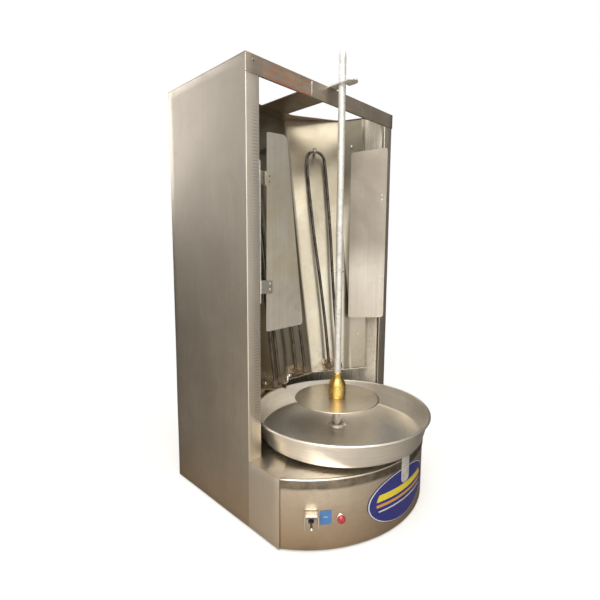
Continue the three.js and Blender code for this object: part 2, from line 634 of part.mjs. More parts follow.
function arm() {
  const top = HEIGHT + GAP + ARM_THICK + GAP;
  add('support_arm', supportArm(), BRIGHT_STEEL);
  add('arm_pivot_bolt', union(
    cylinder(3, HEIGHT - 8, top + 1, 0, PIVOT_Y, 16),
    cylinder(6.5, top, top + 4.4, 0, PIVOT_Y, 6),
  ), ZINC);
  add('arm_end_screw', union(
    cylinder(2, HEIGHT + GAP, top + 1, 0, SPIT_Y - 27, 12),
    turned([[0, top], [5, top], [4.6, top + 1.6], [2.6, top + 2.8], [0, top + 3.1]], 0, SPIT_Y - 27, 16),
  ), ZINC);
}

// ---- controls and trims on the curved front
const LEVER_PIVOT_OUT = 7;
const LEVER_REST = 0.42; // radians below the panel's normal

function controls() {
  const body = union(box(-7, 7, -32, -SHEET - 1, -12, 12), stud(5.9, -3, 5, 20));
  const socket = box(-3.2, 3.2, 0, 9, -5.2, 5.2);
  add('switch_body', mountOnFront(cut(body, socket), SWITCH_ANGLE, SWITCH_Z), PLASTIC);
  const nut = cut(stud(8.6, 0.4, 2.6, 6), stud(6.2, 0, 4, 20));
  add('switch_nut', mountOnFront(nut, SWITCH_ANGLE, SWITCH_Z), ZINC);
  const lever = new THREE.LatheGeometry([
    [0, 0], [1.9, 0], [2.1, 4], [2.9, 17], [2.4, 20.4], [0, 21.4],
  ].map(([radius, z]) => new THREE.Vector2(radius, z)), 16);
  lever.rotateX(-LEVER_REST).translate(0, 2, 0);
  add('switch_lever', mountOnFront(lever, SWITCH_ANGLE, SWITCH_Z), CHROME);
  const guard = union(
    box(-13, -11, 0.4, 20, -9, 18), box(11, 13, 0.4, 20, -9, 18), box(-13, 13, 0.4, 20, 16, 18),
  );
  add('switch_guard', mountOnFront(guard, SWITCH_ANGLE, SWITCH_Z), BRIGHT_STEEL);
  const bezel = cut(union(stud(9.6, 0.4, 2.6, 28), stud(5.9, -14, 1, 20)), stud(4.4, -20, 8, 20));
  add('lamp_bezel', mountOnFront(bezel, LAMP_ANGLE, LAMP_Z), BRIGHT_STEEL);
  const lens = new THREE.LatheGeometry([
    [0, 2.9], [8.4, 2.9], [8.4, 4.6], [7.4, 7.2], [4.6, 9.4], [0, 10.4],
  ].map(([radius, z]) => new THREE.Vector2(radius, z)), 28);
  add('lamp_lens', mountOnFront(lens, LAMP_ANGLE, LAMP_Z), RED_LENS);
  add('label_plate', mountOnFront(box(-11.5, 11.5, 0.5, 1.3, -14, 14), LABEL_ANGLE, LABEL_Z), BLUE_PRINT);
}

function trims() {
  const shell = arcStrip(PANEL_FACE + 0.4, PANEL_FACE + 1.1, 0.38, 10, 130, 28);
  const outline = new THREE.Shape();
  outline.absellipse(0, 0, 102, 54, 0, Math.PI * 2, false, 0);
  const cutter = new THREE.ExtrudeGeometry(outline, { depth: 60, bevelEnabled: false, curveSegments: 24 });
  cutter.rotateX(Math.PI / 2).translate(0, FRONT_CENTRE_Y - PANEL_FACE + 45, 70);
  add('front_badge', common(shell, cutter), BADGE_BLUE);
  const face = FRONT_RADIUS + GAP;
  const top = PAN_FLOOR_Z - GAP;
  add('front_clip', union(
    arcStrip(face, face + 1.2, 0.048, 92, top, 2),
    arcStrip(face - 26, face + 1.2, 0.048, top - 1.2, top, 2),
  ), BRIGHT_STEEL);
}

// ---- mains cord
function cord() {
  const gland = turned([
    [CORD_RADIUS + 1, -9], [7.9, -9], [7.9, 0.4], [11.5, 0.4], [11.5, 5], [8, 10], [CORD_RADIUS + 1, 11],
    [CORD_RADIUS + 1, -9],
  ], 0, 0, 24).rotateX(-Math.PI / 2).translate(150, 0, 60);
  add('cord_gland', gland, PLASTIC);
  const floor = -FOOT_HEIGHT + CORD_RADIUS;
  const path = [
    [150, -26, 60], [150, -8, 60], [150, 8, 60], [150, 18, 59], [150, 33, 48], [146, 38, 20],
    [120, CORD_REAR_Y - 2, floor + 3], [80, CORD_REAR_Y - 4, floor + 0.6],
    [30, CORD_REAR_Y - 10, floor + 0.4], [-30, CORD_REAR_Y - 6, floor + 0.4],
  ].map(([x, y, z]) => new THREE.Vector3(x, y, z));
  add('power_cord', tube(new THREE.CatmullRomCurve3(path), CORD_RADIUS, 44, 4), RUBBER);
  const plugBody = turned([
    [0, 0], [6.5, 0], [8, 14], [13, 26], [14, 44], [0, 44],
  ], 0, 0, 20);
  const prongs = [-6, 6].map((x) => cylinder(2.2, 43, 62, x, 0, 10));
  const plug = union(plugBody, ...prongs).rotateY(-Math.PI / 2);
  add('mains_plug', plug.translate(-31, CORD_REAR_Y - 11, 10.1), RUBBER);
}

cabinet();
chamber();
heaters();
shields();
spit();
drive();
pan();
arm();
controls();
trims();
cord();

export default group;
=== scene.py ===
"""Visual model of a vertical rotisserie broiler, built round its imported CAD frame.

Metres, +Z up, front is -Y. Every sheet, turned part, wire and fastener takes its place from the
frame's own boxes and corners.
"""

import math

import bmesh
import bpy
from mathutils import Matrix, Vector, noise


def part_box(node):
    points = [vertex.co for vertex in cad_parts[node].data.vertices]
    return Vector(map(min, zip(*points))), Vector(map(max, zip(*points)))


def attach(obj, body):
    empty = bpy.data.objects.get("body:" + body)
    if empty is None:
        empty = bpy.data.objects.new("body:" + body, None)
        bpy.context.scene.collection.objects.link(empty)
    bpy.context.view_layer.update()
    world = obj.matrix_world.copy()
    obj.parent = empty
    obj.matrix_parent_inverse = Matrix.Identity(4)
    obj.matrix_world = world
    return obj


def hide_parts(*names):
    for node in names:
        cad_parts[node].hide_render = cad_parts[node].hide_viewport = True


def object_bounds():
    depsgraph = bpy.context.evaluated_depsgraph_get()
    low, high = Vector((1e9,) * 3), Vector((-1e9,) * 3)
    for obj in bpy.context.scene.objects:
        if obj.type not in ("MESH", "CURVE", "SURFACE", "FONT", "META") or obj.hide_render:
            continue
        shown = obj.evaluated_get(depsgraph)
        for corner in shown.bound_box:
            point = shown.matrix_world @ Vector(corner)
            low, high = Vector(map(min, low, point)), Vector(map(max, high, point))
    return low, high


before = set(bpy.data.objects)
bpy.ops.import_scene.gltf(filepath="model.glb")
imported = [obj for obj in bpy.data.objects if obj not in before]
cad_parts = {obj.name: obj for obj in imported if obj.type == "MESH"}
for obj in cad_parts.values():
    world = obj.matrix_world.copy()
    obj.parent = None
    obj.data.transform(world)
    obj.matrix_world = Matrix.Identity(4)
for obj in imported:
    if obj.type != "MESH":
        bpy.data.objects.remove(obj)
cad_low, cad_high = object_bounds()


# ---------------------------------------------------------------- driving sizes
def middle(node):
    lo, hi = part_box(node)
    return (lo + hi) / 2


def on_plan(point, height=0.0):
    """The point moved to a height."""
    return Vector((point.x, point.y, height))


SHEET = 0.0015              # stainless sheet
FACE = 0.0002               # how far a small mark stands off the face under it
GAP = 0.0003                # clearance the frame keeps between pieces
BEND = 0.003                # outer radius of a folded corner
TIGHT_BEND = 0.0016         # radius of a hem's fold
HEM = 0.007                 # return along the inner edge of a column flange
GRID = 0.018                # spacing of the mesh that carries the sheet's waviness
SMOOTH_ANGLE = 35           # degrees; a sharper edge stays sharp
ZERO = Vector((0, 0, 0))
UP = Vector((0, 0, 1))
FORWARD = Vector((0, -1, 0))

top_lo, top_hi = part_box("top_frame")
base_lo, base_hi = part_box("base_top_plate")
rod_lo, rod_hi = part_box("spit_rod")
pan_lo, pan_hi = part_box("drip_pan")
shaft_lo, shaft_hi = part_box("drive_shaft")

COLUMN_FRONT = top_lo.y + SHEET + GAP
REAR = top_hi.y
BASE_TOP = base_hi.z
SPIT = on_plan(middle("spit_rod"))
PAN = on_plan(middle("drip_pan"))

# The curved front is an arc through the plate's two front corners and its middle.
HALF_BASE = base_hi.x
CORNER_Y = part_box("side_panel_left")[0].y
SAG = CORNER_Y - base_lo.y
FRONT_RADIUS = (HALF_BASE ** 2 + SAG ** 2) / (2 * SAG)
FRONT_CENTRE = Vector((0, base_lo.y + FRONT_RADIUS, 0))
FACE_RADIUS = FRONT_RADIUS - SHEET - GAP


# ---------------------------------------------------------------- mesh helpers
def link(name, data):
    obj = bpy.data.objects.new(name, data)
    bpy.context.scene.collection.objects.link(obj)
    return obj


def smooth(mesh, degrees=SMOOTH_ANGLE):
    for polygon in mesh.polygons:
        polygon.use_smooth = True
    mesh.set_sharp_from_angle(angle=math.radians(degrees))


def weld(mesh):
    """Join coincident points and turn the faces outwards."""
    work = bmesh.new()
    work.from_mesh(mesh)
    bmesh.ops.remove_doubles(work, verts=work.verts, dist=1e-6)
    bmesh.ops.recalc_face_normals(work, faces=work.faces)
    work.to_mesh(mesh)
    work.free()


def mesh_piece(name, vertices, faces, degrees=SMOOTH_ANGLE):
    mesh = bpy.data.meshes.new(name)
    mesh.from_pydata([tuple(v) for v in vertices], [], faces)
    weld(mesh)
    smooth(mesh, degrees)
    return link(name, mesh)


def modifier(obj, kind, **settings):
    added = obj.modifiers.new(kind.title(), kind)
    for key, value in settings.items():
        setattr(added, key, value)


def soften(obj, width=0.0004):
    modifier(obj, "BEVEL", width=width, segments=2, limit_method="ANGLE", angle_limit=math.radians(40))


def evaluated(obj):
    """Copy of an object's mesh, or of its filled curve, with its modifiers applied."""
    bpy.context.view_layer.update()
    return bpy.data.meshes.new_from_object(obj.evaluated_get(bpy.context.evaluated_depsgraph_get()))


def join(name, parts):
    """One object from several; the parts' modifiers are applied first."""
    work = bmesh.new()
    for part in parts:
        made = evaluated(part)
        made.transform(part.matrix_world)
        work.from_mesh(made)
        bpy.data.meshes.remove(made)
        bpy.data.objects.remove(part)
    mesh = bpy.data.meshes.new(name)
    work.to_mesh(mesh)
    work.free()
    mesh.set_sharp_from_angle(angle=math.radians(SMOOTH_ANGLE))
    return link(name, mesh)


def cut(name, body, cutters, others=()):
    """One object from a body with the cutters' shapes taken out of it, and from others."""
    for cutter in cutters:
        modifier(body, "BOOLEAN", operation="DIFFERENCE", object=cutter, solver="EXACT")
    made = join(name, [body, *others])
    for cutter in cutters:
        bpy.data.objects.remove(cutter)
    return made


def rounded(points, radius, steps=4, closed=False):
    """Polyline with its corners turned into arcs. radius is one number or one for each corner."""
    corners = [Vector(p).to_3d() for p in points]
    count = len(corners)
    radii = radius if isinstance(radius, list) else [radius] * count
    path = [] if closed else [corners[0]]
    for i in range(0 if closed else 1, count if closed else count - 1):
        corner = corners[i]
        before = corners[i - 1] - corner
        after = corners[(i + 1) % count] - corner
        reach = min(radii[i] / math.tan(before.angle(after) / 2), before.length * 0.48, after.length * 0.48)
        start = corner + before.normalized() * reach
        end = corner + after.normalized() * reach
        for k in range(steps + 1):
            t = k / steps
            path.append(start * (1 - t) ** 2 + corner * 2 * t * (1 - t) + end * t * t)
    if not closed:
        path.append(corners[-1])
    return path


def divided(path, step):
    """The same polyline with its long stretches cut into equal lengths."""
    out = [path[0]]
    for a, b in zip(path, path[1:]):
        pieces = max(1, round((b - a).length / step))
        out += [a.lerp(b, (k + 1) / pieces) for k in range(pieces)]
    return out


def spaced(start, end, step):
    pieces = max(1, round(abs(end - start) / step))
    return [start + (end - start) * k / pieces for k in range(pieces + 1)]


def grid(rows):
    """Vertices and faces of a sheet. Columns run along it and rows up it; it faces along x up."""
    columns = len(rows[0])
    starts = [r * columns + c for r in range(len(rows) - 1) for c in range(columns - 1)]
    return [v for row in rows for v in row], [(a, a + 1, a + columns + 1, a + columns) for a in starts]


def standing(path, heights):
    """Rows of a sheet that stands on a path."""
    return [[on_plan(p, z) for p in path] for z in heights]


def sheet(name, grids, wave=0.0, wave_size=0.11, thickness=SHEET, edge=0.0003):
    """Folded sheet metal from one or more grids that share edges, thickened behind its face."""
    work = bmesh.new()
    for rows in grids:
        vertices, faces = grid(rows)
        made = [work.verts.new(v) for v in vertices]
        for face in faces:
            work.faces.new([made[i] for i in face])
    bmesh.ops.remove_doubles(work, verts=work.verts, dist=1e-5)
    work.normal_update()
    moved = {v: v.normal * wave * noise.noise(v.co / wave_size) for v in work.verts}
    for vertex, offset in moved.items():
        vertex.co += offset
    mesh = bpy.data.meshes.new(name)
    work.to_mesh(mesh)
    work.free()
    smooth(mesh, 50)
    obj = link(name, mesh)
    modifier(obj, "SOLIDIFY", thickness=thickness, offset=-1)
    soften(obj, edge)
    return obj


def plate(name, outline, holes=(), thickness=SHEET, place=Matrix.Identity(4), edge=0.0002):
    """Flat plate in the XY plane with its face at z 0, then moved by place."""
    curve = bpy.data.curves.new(name, "CURVE")
    curve.dimensions = "2D"
    curve.fill_mode = "BOTH"
    curve.extrude = thickness / 2 - edge
    curve.bevel_depth = edge
    curve.bevel_resolution = 1
    curve.offset = -edge
    for loop in [outline, *holes]:
        spline = curve.splines.new("POLY")
        spline.points.add(len(loop) - 1)
        for point, where in zip(spline.points, loop):
            point.co = (where[0], where[1], 0, 1)
        spline.use_cyclic_u = True
    temporary = link(name + "_curve", curve)
    mesh = evaluated(temporary)
    bpy.data.objects.remove(temporary)
    bpy.data.curves.remove(curve)
    mesh.transform(place @ Matrix.Translation((0, 0, -thickness / 2)))
    weld(mesh)
    smooth(mesh)
    face_on = (place.to_3x3() @ UP).normalized()
    for polygon in mesh.polygons:
        if abs(polygon.normal.dot(face_on)) > 0.999:
            polygon.use_smooth = False
    return link(name, mesh)


def circle(radius, x=0.0, y=0.0, sides=28):
    turns = [2 * math.pi * i / sides for i in range(sides)]
    return [(x + radius * math.cos(a), y + radius * math.sin(a)) for a in turns]


def slot_hole(length, width, x, y):
    """Outline of a level slot with round ends."""
    radius = width / 2
    half = length / 2 - radius
    ends = ((half, -90), (-half, 90))
    turns = [(end, math.radians(start + k * 30)) for end, start in ends for k in range(7)]
    return [(x + end + radius * math.cos(a), y + radius * math.sin(a)) for end, a in turns]


def lathe(name, profile, centre=ZERO, segments=64, axis=UP, uneven=0.0, degrees=SMOOTH_ANGLE):
    """Turned part from (radius, height) pairs, its height along axis."""
    vertices = []
    rings = []
    for radius, height in profile:
        on_axis = radius < 1e-7
        ring = []
        for i in range(1 if on_axis else segments):
            turn = 2 * math.pi * i / segments
            spot = Vector((radius * math.cos(turn), radius * math.sin(turn), height))
            if uneven and not on_axis:
                spot.x *= 1 + uneven * noise.noise(spot * 90) / radius
                spot.y *= 1 + uneven * noise.noise(spot * 90) / radius
            ring.append(len(vertices))
            vertices.append(spot)
        rings.append(ring)
    faces = []
    for low, high in zip(rings, rings[1:]):
        if len(low) == 1 and len(high) == 1:
            continue
        for i in range(segments):
            j = (i + 1) % segments
            around = [low[i % len(low)], low[j % len(low)], high[j % len(high)], high[i % len(high)]]
            faces.append(tuple(dict.fromkeys(around)))
    turn = UP.rotation_difference(Vector(axis)).to_matrix()
    return mesh_piece(name, [turn @ v + centre for v in vertices], faces, degrees)


def sweep(name, path, radius, sides=14):
    """Round bar along a path, with domed ends."""
    points = [Vector(p) for p in path]
    last = len(points) - 1
    tangents = [(points[min(i + 1, last)] - points[max(i - 1, 0)]).normalized() for i in range(last + 1)]
    normal = tangents[0].orthogonal().normalized()
    dome, dome_scale = radius * 0.4, 0.55
    stations = [(points[0] - tangents[0] * dome, dome_scale, 0)]
    stations += [(p, 1.0, i) for i, p in enumerate(points)]
    stations.append((points[-1] + tangents[-1] * dome, dome_scale, last))
    vertices = []
    for centre, scale, i in stations:
        tangent = tangents[i]
        normal = (normal - tangent * normal.dot(tangent)).normalized()
        other = tangent.cross(normal)
        for k in range(sides):
            turn = 2 * math.pi * k / sides
            vertices.append(centre + (normal * math.cos(turn) + other * math.sin(turn)) * radius * scale)
    faces = [tuple(range(sides)), tuple(len(vertices) - 1 - k for k in range(sides))]
    for r in range(len(stations) - 1):
        for k in range(sides):
            m = (k + 1) % sides
            faces.append((r * sides + k, r * sides + m, (r + 1) * sides + m, (r + 1) * sides + k))
    return mesh_piece(name, vertices, faces, 60)


def catmull(points, steps=10):
    """Smooth path through points."""
    points = [Vector(p) for p in points]
    ends = [points[0] * 2 - points[1], *points, points[-1] * 2 - points[-2]]
    path = []
    for a, b, c, d in zip(ends, ends[1:], ends[2:], ends[3:]):
        for k in range(steps):
            t = k / steps
            path.append(0.5 * (2 * b + (c - a) * t + (2 * a - 5 * b + 4 * c - d) * t * t
                               + (3 * b - a - 3 * c + d) * t ** 3))
    path.append(points[-1])
    return path


# ---------------------------------------------------------------- places
def placement(x, y, z, origin):
    """Placement with these axes and this origin."""
    place = Matrix((x, y, z)).transposed().to_4x4()
    place.translation = origin
    return place


def facing(point, direction):
    """Placement at a point whose +Z is a direction."""
    place = UP.rotation_difference(Vector(direction)).to_matrix().to_4x4()
    place.translation = point
    return place


def around_front(radius, turn, height):
    """Point about the curved front's centre, turn radians from its middle."""
    return FRONT_CENTRE + Vector((radius * math.sin(turn), -radius * math.cos(turn), height))


def front_arc(radius, half, height, steps=44):
    return [around_front(radius, a, height) for a in spaced(-half, half, 2 * half / steps)]


def front_turn(node):
    spot = middle(node)
    return math.atan2(spot.x, FRONT_CENTRE.y - spot.y)


def front_place(node):
    """Frame on the curved front at a node: +X to its right, +Y up and +Z out of the panel."""
    turn = front_turn(node)
    right = (math.cos(turn), math.sin(turn), 0)
    out = (math.sin(turn), -math.cos(turn), 0)
    return placement(right, UP, out, around_front(FACE_RADIUS, turn, middle(node).z))


def fold_line(node, height):
    """Corners of a folded sheet at one height, left to right, on the side that faces the spit."""
    corners = sorted(
        (v.co.copy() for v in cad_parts[node].data.vertices if abs(v.co.z - height) < 5e-4),
        key=lambda co: co.x,
    )
    unique = [co for i, co in enumerate(corners) if i == 0 or (co - corners[i - 1]).length > 2e-4]
    pairs = [unique[i:i + 2] for i in range(0, len(unique) - 1, 2)]
    return [min(pair, key=lambda co: abs(co.x)) for pair in pairs]


# ---------------------------------------------------------------- node materials
def shade(colour, by):
    return tuple(min(1.0, by * c) for c in colour)


class Shader:
    """Short way to write a node tree. tone is the colour so far, which over() paints on."""

    def __init__(self, name):
        self.material = bpy.data.materials.new(name)
        self.material.use_nodes = True
        self.tree = self.material.node_tree
        self.surface = self.tree.nodes["Principled BSDF"]
        self.position = self.node("ShaderNodeTexCoord").outputs["Object"]

    def node(self, kind, **settings):
        made = self.tree.nodes.new(kind)
        for key, value in settings.items():
            setattr(made, key, value)
        return made

    def put(self, socket, value):
        if isinstance(value, bpy.types.NodeSocket):
            self.tree.links.new(value, socket)
        elif isinstance(value, tuple) and len(value) == 3 and socket.type == "RGBA":
            socket.default_value = (*value, 1)
        else:
            socket.default_value = value

    def fill(self, node, *values):
        """Set a node's first inputs and give its first output."""
        for socket, value in zip(node.inputs, values):
            self.put(socket, value)
        return node.outputs[0]

    def math(self, operation, a, b=0.0, c=0.0, clamp=False):
        return self.fill(self.node("ShaderNodeMath", operation=operation, use_clamp=clamp), a, b, c)

    def times(self, a, b):
        return self.math("MULTIPLY", a, b)

    def blur(self, value, by, base, clamp=False):
        """Roughness, raised by a pattern over its base."""
        return self.math("MULTIPLY_ADD", value, by, base, clamp)

    def vector(self, operation, other=None):
        made = self.node("ShaderNodeVectorMath", operation=operation)
        self.put(made.inputs[0], self.position)
        if other:
            made.inputs[1].default_value = other
        return made.outputs["Value"]

    def combine(self, *values):
        return self.fill(self.node("ShaderNodeCombineXYZ"), *values)

    def split(self, vector=None):
        made = self.node("ShaderNodeSeparateXYZ")
        self.put(made.inputs[0], vector or self.position)
        return made.outputs

    def axis(self, name):
        return self.split()[name]

    def stretched(self, scale, turn=(0.0, 0.0, 0.0)):
        made = self.node("ShaderNodeMapping")
        self.put(made.inputs["Vector"], self.position)
        made.inputs["Scale"].default_value = scale
        made.inputs["Rotation"].default_value = turn
        return made.outputs[0]

    def noise(self, scale, detail=3.0, rough=0.5, vector=None, distort=0.0):
        made = self.node("ShaderNodeTexNoise")
        values = {"Scale": scale, "Detail": detail, "Roughness": rough, "Distortion": distort}
        for key, value in {"Vector": vector or self.position, **values}.items():
            self.put(made.inputs[key], value)
        return made.outputs["Fac"]

    def remap(self, value, low, high, to_low=0.0, to_high=1.0):
        return self.fill(self.node("ShaderNodeMapRange", interpolation_type="SMOOTHSTEP"),
                         value, low, high, to_low, to_high)

    def rise(self, low, high, to_low=0.0, to_high=1.0):
        """A value that changes with height."""
        return self.remap(self.axis("Z"), low, high, to_low, to_high)

    def mix(self, factor, a, b):
        made = self.node("ShaderNodeMix", data_type="RGBA", blend_type="MIX")
        for index, value in ((0, factor), (6, a), (7, b)):
            self.put(made.inputs[index], value)
        return made.outputs[2]

    def cloudy(self, dark, light, cloud, low=0.3, high=0.7):
        self.tone = self.mix(self.remap(cloud, low, high), dark, light)

    def over(self, factor, colour):
        self.tone = self.mix(factor, self.tone, colour)

    def bump(self, height, distance, strength=1.0, below=None):
        made = self.node("ShaderNodeBump")
        values = {"Height": height, "Distance": distance, "Strength": strength}
        for key, value in values.items():
            self.put(made.inputs[key], value)
        if below is not None:
            self.put(made.inputs["Normal"], below)
        return made.outputs[0]

    def blend(self, factor, a, b):
        return self.fill(self.node("ShaderNodeMixShader"), factor, a, b)

    def finish(self, roughness, normal, **values):
        values = {"Base_Color": self.tone, "Roughness": roughness, "Normal": normal, **values}
        for key, value in values.items():
            self.put(self.surface.inputs[key.replace("_", " ")], value)
        return self.material


GRAIN = {  # stretch of the fine grain and of the streaks, and the way they run
    "x": ((14, 900, 900), (3, 160, 160), (1, 0, 0)),
    "z": ((900, 900, 14), (160, 160, 3), (0, 0, 1)),
}


def steel(name, light, dark, rough=0.3, grain="z", dents=0.0006, grime=0.5, painted_floor_reflection=0.0, extra=None,
          streaks=0.2, metal=1.0):
    """Brushed stainless: grain, long streaks, cloudy tone, smudges, hairline scratches and grease, and where
    asked a painted reflection of the warm counter low down.

    extra(s) paints on the tone and gives the metalness where that isn't even.
    """
    fine_scale, streak_scale, along = GRAIN[grain]
    s = Shader(name)
    fine = s.noise(1.0, 2, 0.6, s.stretched(fine_scale))
    streak = s.noise(1.0, 3, 0.55, s.stretched(streak_scale))
    cloud = s.noise(5.5, 4, 0.55, distort=0.4)
    smudge = s.remap(s.noise(13, 5, 0.62, distort=1.1), 0.47, 0.68)
    scratch_a = s.remap(s.noise(1.0, 1, 0.5, s.stretched((700, 700, 9), (0.5, 0.35, 0.2))), 0.70, 0.77)
    scratch_b = s.remap(s.noise(1.0, 1, 0.5, s.stretched((8, 620, 620), (0.1, 0.45, -0.5))), 0.71, 0.78)
    scratch = s.math("MAXIMUM", scratch_a, scratch_b)
    spots = s.remap(s.noise(260, 2, 0.5), 0.73, 0.80)
    s.cloudy(dark, light, cloud)
    s.over(s.remap(streak, 0.25, 0.75, 0.0, streaks), shade(dark, 0.66))
    s.over(s.remap(fine, 0.2, 0.8, 0.0, 0.16), shade(light, 1.25))
    s.over(s.times(smudge, 0.30 * grime), (0.20, 0.16, 0.11))
    s.over(s.times(scratch, 0.35), shade(light, 1.5))
    s.over(s.times(spots, 0.5 * grime), (0.10, 0.075, 0.05))
    if painted_floor_reflection:
        # painted reflection: the counter's warm colour painted low down on the panel
        s.over(s.rise(0.16, 0.0, 0.0, painted_floor_reflection), (0.62, 0.43, 0.25))
    uneven_metal = extra(s) if extra else None
    roughness = s.blur(fine, 0.16, rough - 0.08)
    roughness = s.blur(smudge, 0.14 * grime, roughness)
    roughness = s.blur(scratch, 0.12, roughness, clamp=True)
    wavy = s.bump(s.noise(8.5, 2, 0.4), dents)
    brushed = s.bump(s.math("ADD", fine, s.times(streak, 0.7)), 0.00005, 0.7, wavy)
    nicked = s.bump(s.math("ADD", scratch, s.times(spots, 0.6)), 0.00008, 0.6, brushed)
    return s.finish(roughness, nicked, Metallic=uneven_metal or metal, Anisotropic=0.55,
                    Tangent=s.combine(*along))


def spun(name, light, dark, centre, rough, rings, grime, metal=1.0):
    """Metal turned or spun on an axis: fine concentric rings, wiped smears and grease specks."""
    s = Shader(name)
    x, y, z = s.split()
    x = s.math("SUBTRACT", x, centre.x)
    y = s.math("SUBTRACT", y, centre.y)
    radius = s.math("SQRT", s.math("ADD", s.math("POWER", x, 2), s.math("POWER", y, 2)))
    turn = s.times(s.math("ARCTAN2", y, x), 1.3)
    ring = s.noise(1.0, 3, 0.6, s.combine(s.times(radius, rings), s.times(z, rings), turn))
    smear = s.remap(s.noise(14, 4, 0.55, distort=0.9), 0.48, 0.74)
    specks = s.remap(s.noise(330, 2, 0.5), 0.72, 0.8)
    s.cloudy(dark, light, s.noise(8, 3, 0.5, distort=0.4))
    s.over(s.remap(ring, 0.25, 0.75, 0.0, 0.4), shade(dark, 0.66))
    s.over(s.times(smear, 0.28 * grime), (0.24, 0.18, 0.12))
    s.over(s.times(specks, 0.5 * grime), (0.12, 0.08, 0.05))
    roughness = s.blur(ring, 0.14, rough - 0.07)
    roughness = s.blur(smear, 0.16 * grime, roughness, clamp=True)
    wavy = s.bump(s.noise(10, 1, 0.4), 0.0003)
    pitted = s.bump(specks, 0.00006, 0.5, s.bump(ring, 0.00006, 0.8, wavy))
    return s.finish(roughness, pitted, Metallic=metal)


def cast(name, light, dark, rough, metal=1.0, size=600, depth=0.0002, stain=(0.09, 0.06, 0.04), stained=0.4):
    """Rough metal, paint or fired clay: grained bump, blotchy colour and dark staining."""
    s = Shader(name)
    grain = s.noise(size, 5, 0.65)
    dirt = s.remap(s.noise(size / 5, 4, 0.6, distort=1.5), 0.52, 0.72)
    s.cloudy(dark, light, s.noise(size / 9, 5, 0.6, distort=0.7))
    s.over(s.remap(grain, 0.35, 0.75, 0.0, 0.35), shade(light, 1.3))
    s.over(s.times(dirt, stained), stain)
    return s.finish(s.blur(grain, 0.3, rough - 0.15, clamp=True), s.bump(grain, depth, 0.8), Metallic=metal)


def moulded(name, colour, rough, coat=0.0):
    """Moulded plastic or rubber: fine texture, scuffs that lighten it, and settled dust."""
    s = Shader(name)
    texture = s.noise(900, 3, 0.6)
    scuff = s.remap(s.noise(1.0, 2, 0.5, s.stretched((60, 700, 500), (0.3, 0.5, 0.8))), 0.66, 0.76)
    cloud = s.noise(60, 4, 0.6)
    s.cloudy(shade(colour, 0.75), colour, cloud)
    s.over(s.times(s.remap(cloud, 0.45, 0.75), 0.15), (0.45, 0.42, 0.38))
    s.over(s.times(scuff, 0.35), tuple(2.0 * c + 0.04 for c in colour))
    roughness = s.blur(texture, 0.2, rough - 0.1)
    roughness = s.blur(scuff, 0.15, roughness, clamp=True)
    return s.finish(roughness, s.bump(texture, 0.00005, 0.5), Coat_Weight=coat)


def painted_sheen_and_press_marks(s):
    """Painted sheen making the side panels lighter towards the top, a painted highlight making the column
    flange faces lighter, and short faint press marks down part of the left one.
    """
    pitch, mark_share = 0.0061, 0.26
    band_x = 0.2195  # the marks' middle, left of the centre line
    # painted sheen: the side panels lighter towards the top
    s.over(s.rise(0.25, 0.95, 0.0, 0.64), (0.66, 0.60, 0.53))
    on_face = s.math("LESS_THAN", s.axis("Y"), COLUMN_FRONT + 0.002)
    # painted highlight: the column flange faces lighter, more so higher up
    s.over(s.times(on_face, s.rise(0.22, 0.60, 0.35, 0.8)), (0.93, 0.86, 0.76))
    mark = s.math("LESS_THAN", s.math("FRACT", s.math("DIVIDE", s.axis("Z"), pitch)), mark_share)
    in_band = s.remap(s.math("ABSOLUTE", s.math("ADD", s.axis("X"), band_x)), 0.0065, 0.0045)
    kept = s.remap(s.noise(4.2, 2, 0.5), 0.46, 0.60)
    amount = s.times(s.times(mark, in_band), s.times(kept, on_face))
    s.over(s.times(amount, 0.34), (0.16, 0.12, 0.12))


def dark_lip(s):
    """The base plate's front lip is painted darker below its rounded top edge, in patches."""
    below = s.rise(BASE_TOP - 0.0008, BASE_TOP - 0.0030)
    s.over(s.times(below, s.remap(s.noise(26, 4, 0.6), 0.25, 0.65, 0.7, 1.0)), (0.145, 0.12, 0.09))


def darker_on_top(s):
    """Right shield painted darker over its upper half, in patches, and left bright below."""
    patchy = s.remap(s.noise(7, 4, 0.55, distort=0.6), 0.25, 0.7, 0.55, 0.85)
    s.over(s.times(s.rise(0.52, 0.62), patchy), (0.20, 0.17, 0.14))


def painted_shadow_under_lip(s):
    """Painted shadow in the corner under the top plate's lip, in patches."""
    corner = s.rise(base_lo.z - 0.007, base_lo.z + 0.001)
    # painted shadow: darker just under the lip
    s.over(s.times(corner, s.remap(s.noise(40, 4, 0.6), 0.25, 0.6, 0.35, 0.8)), (0.10, 0.08, 0.06))


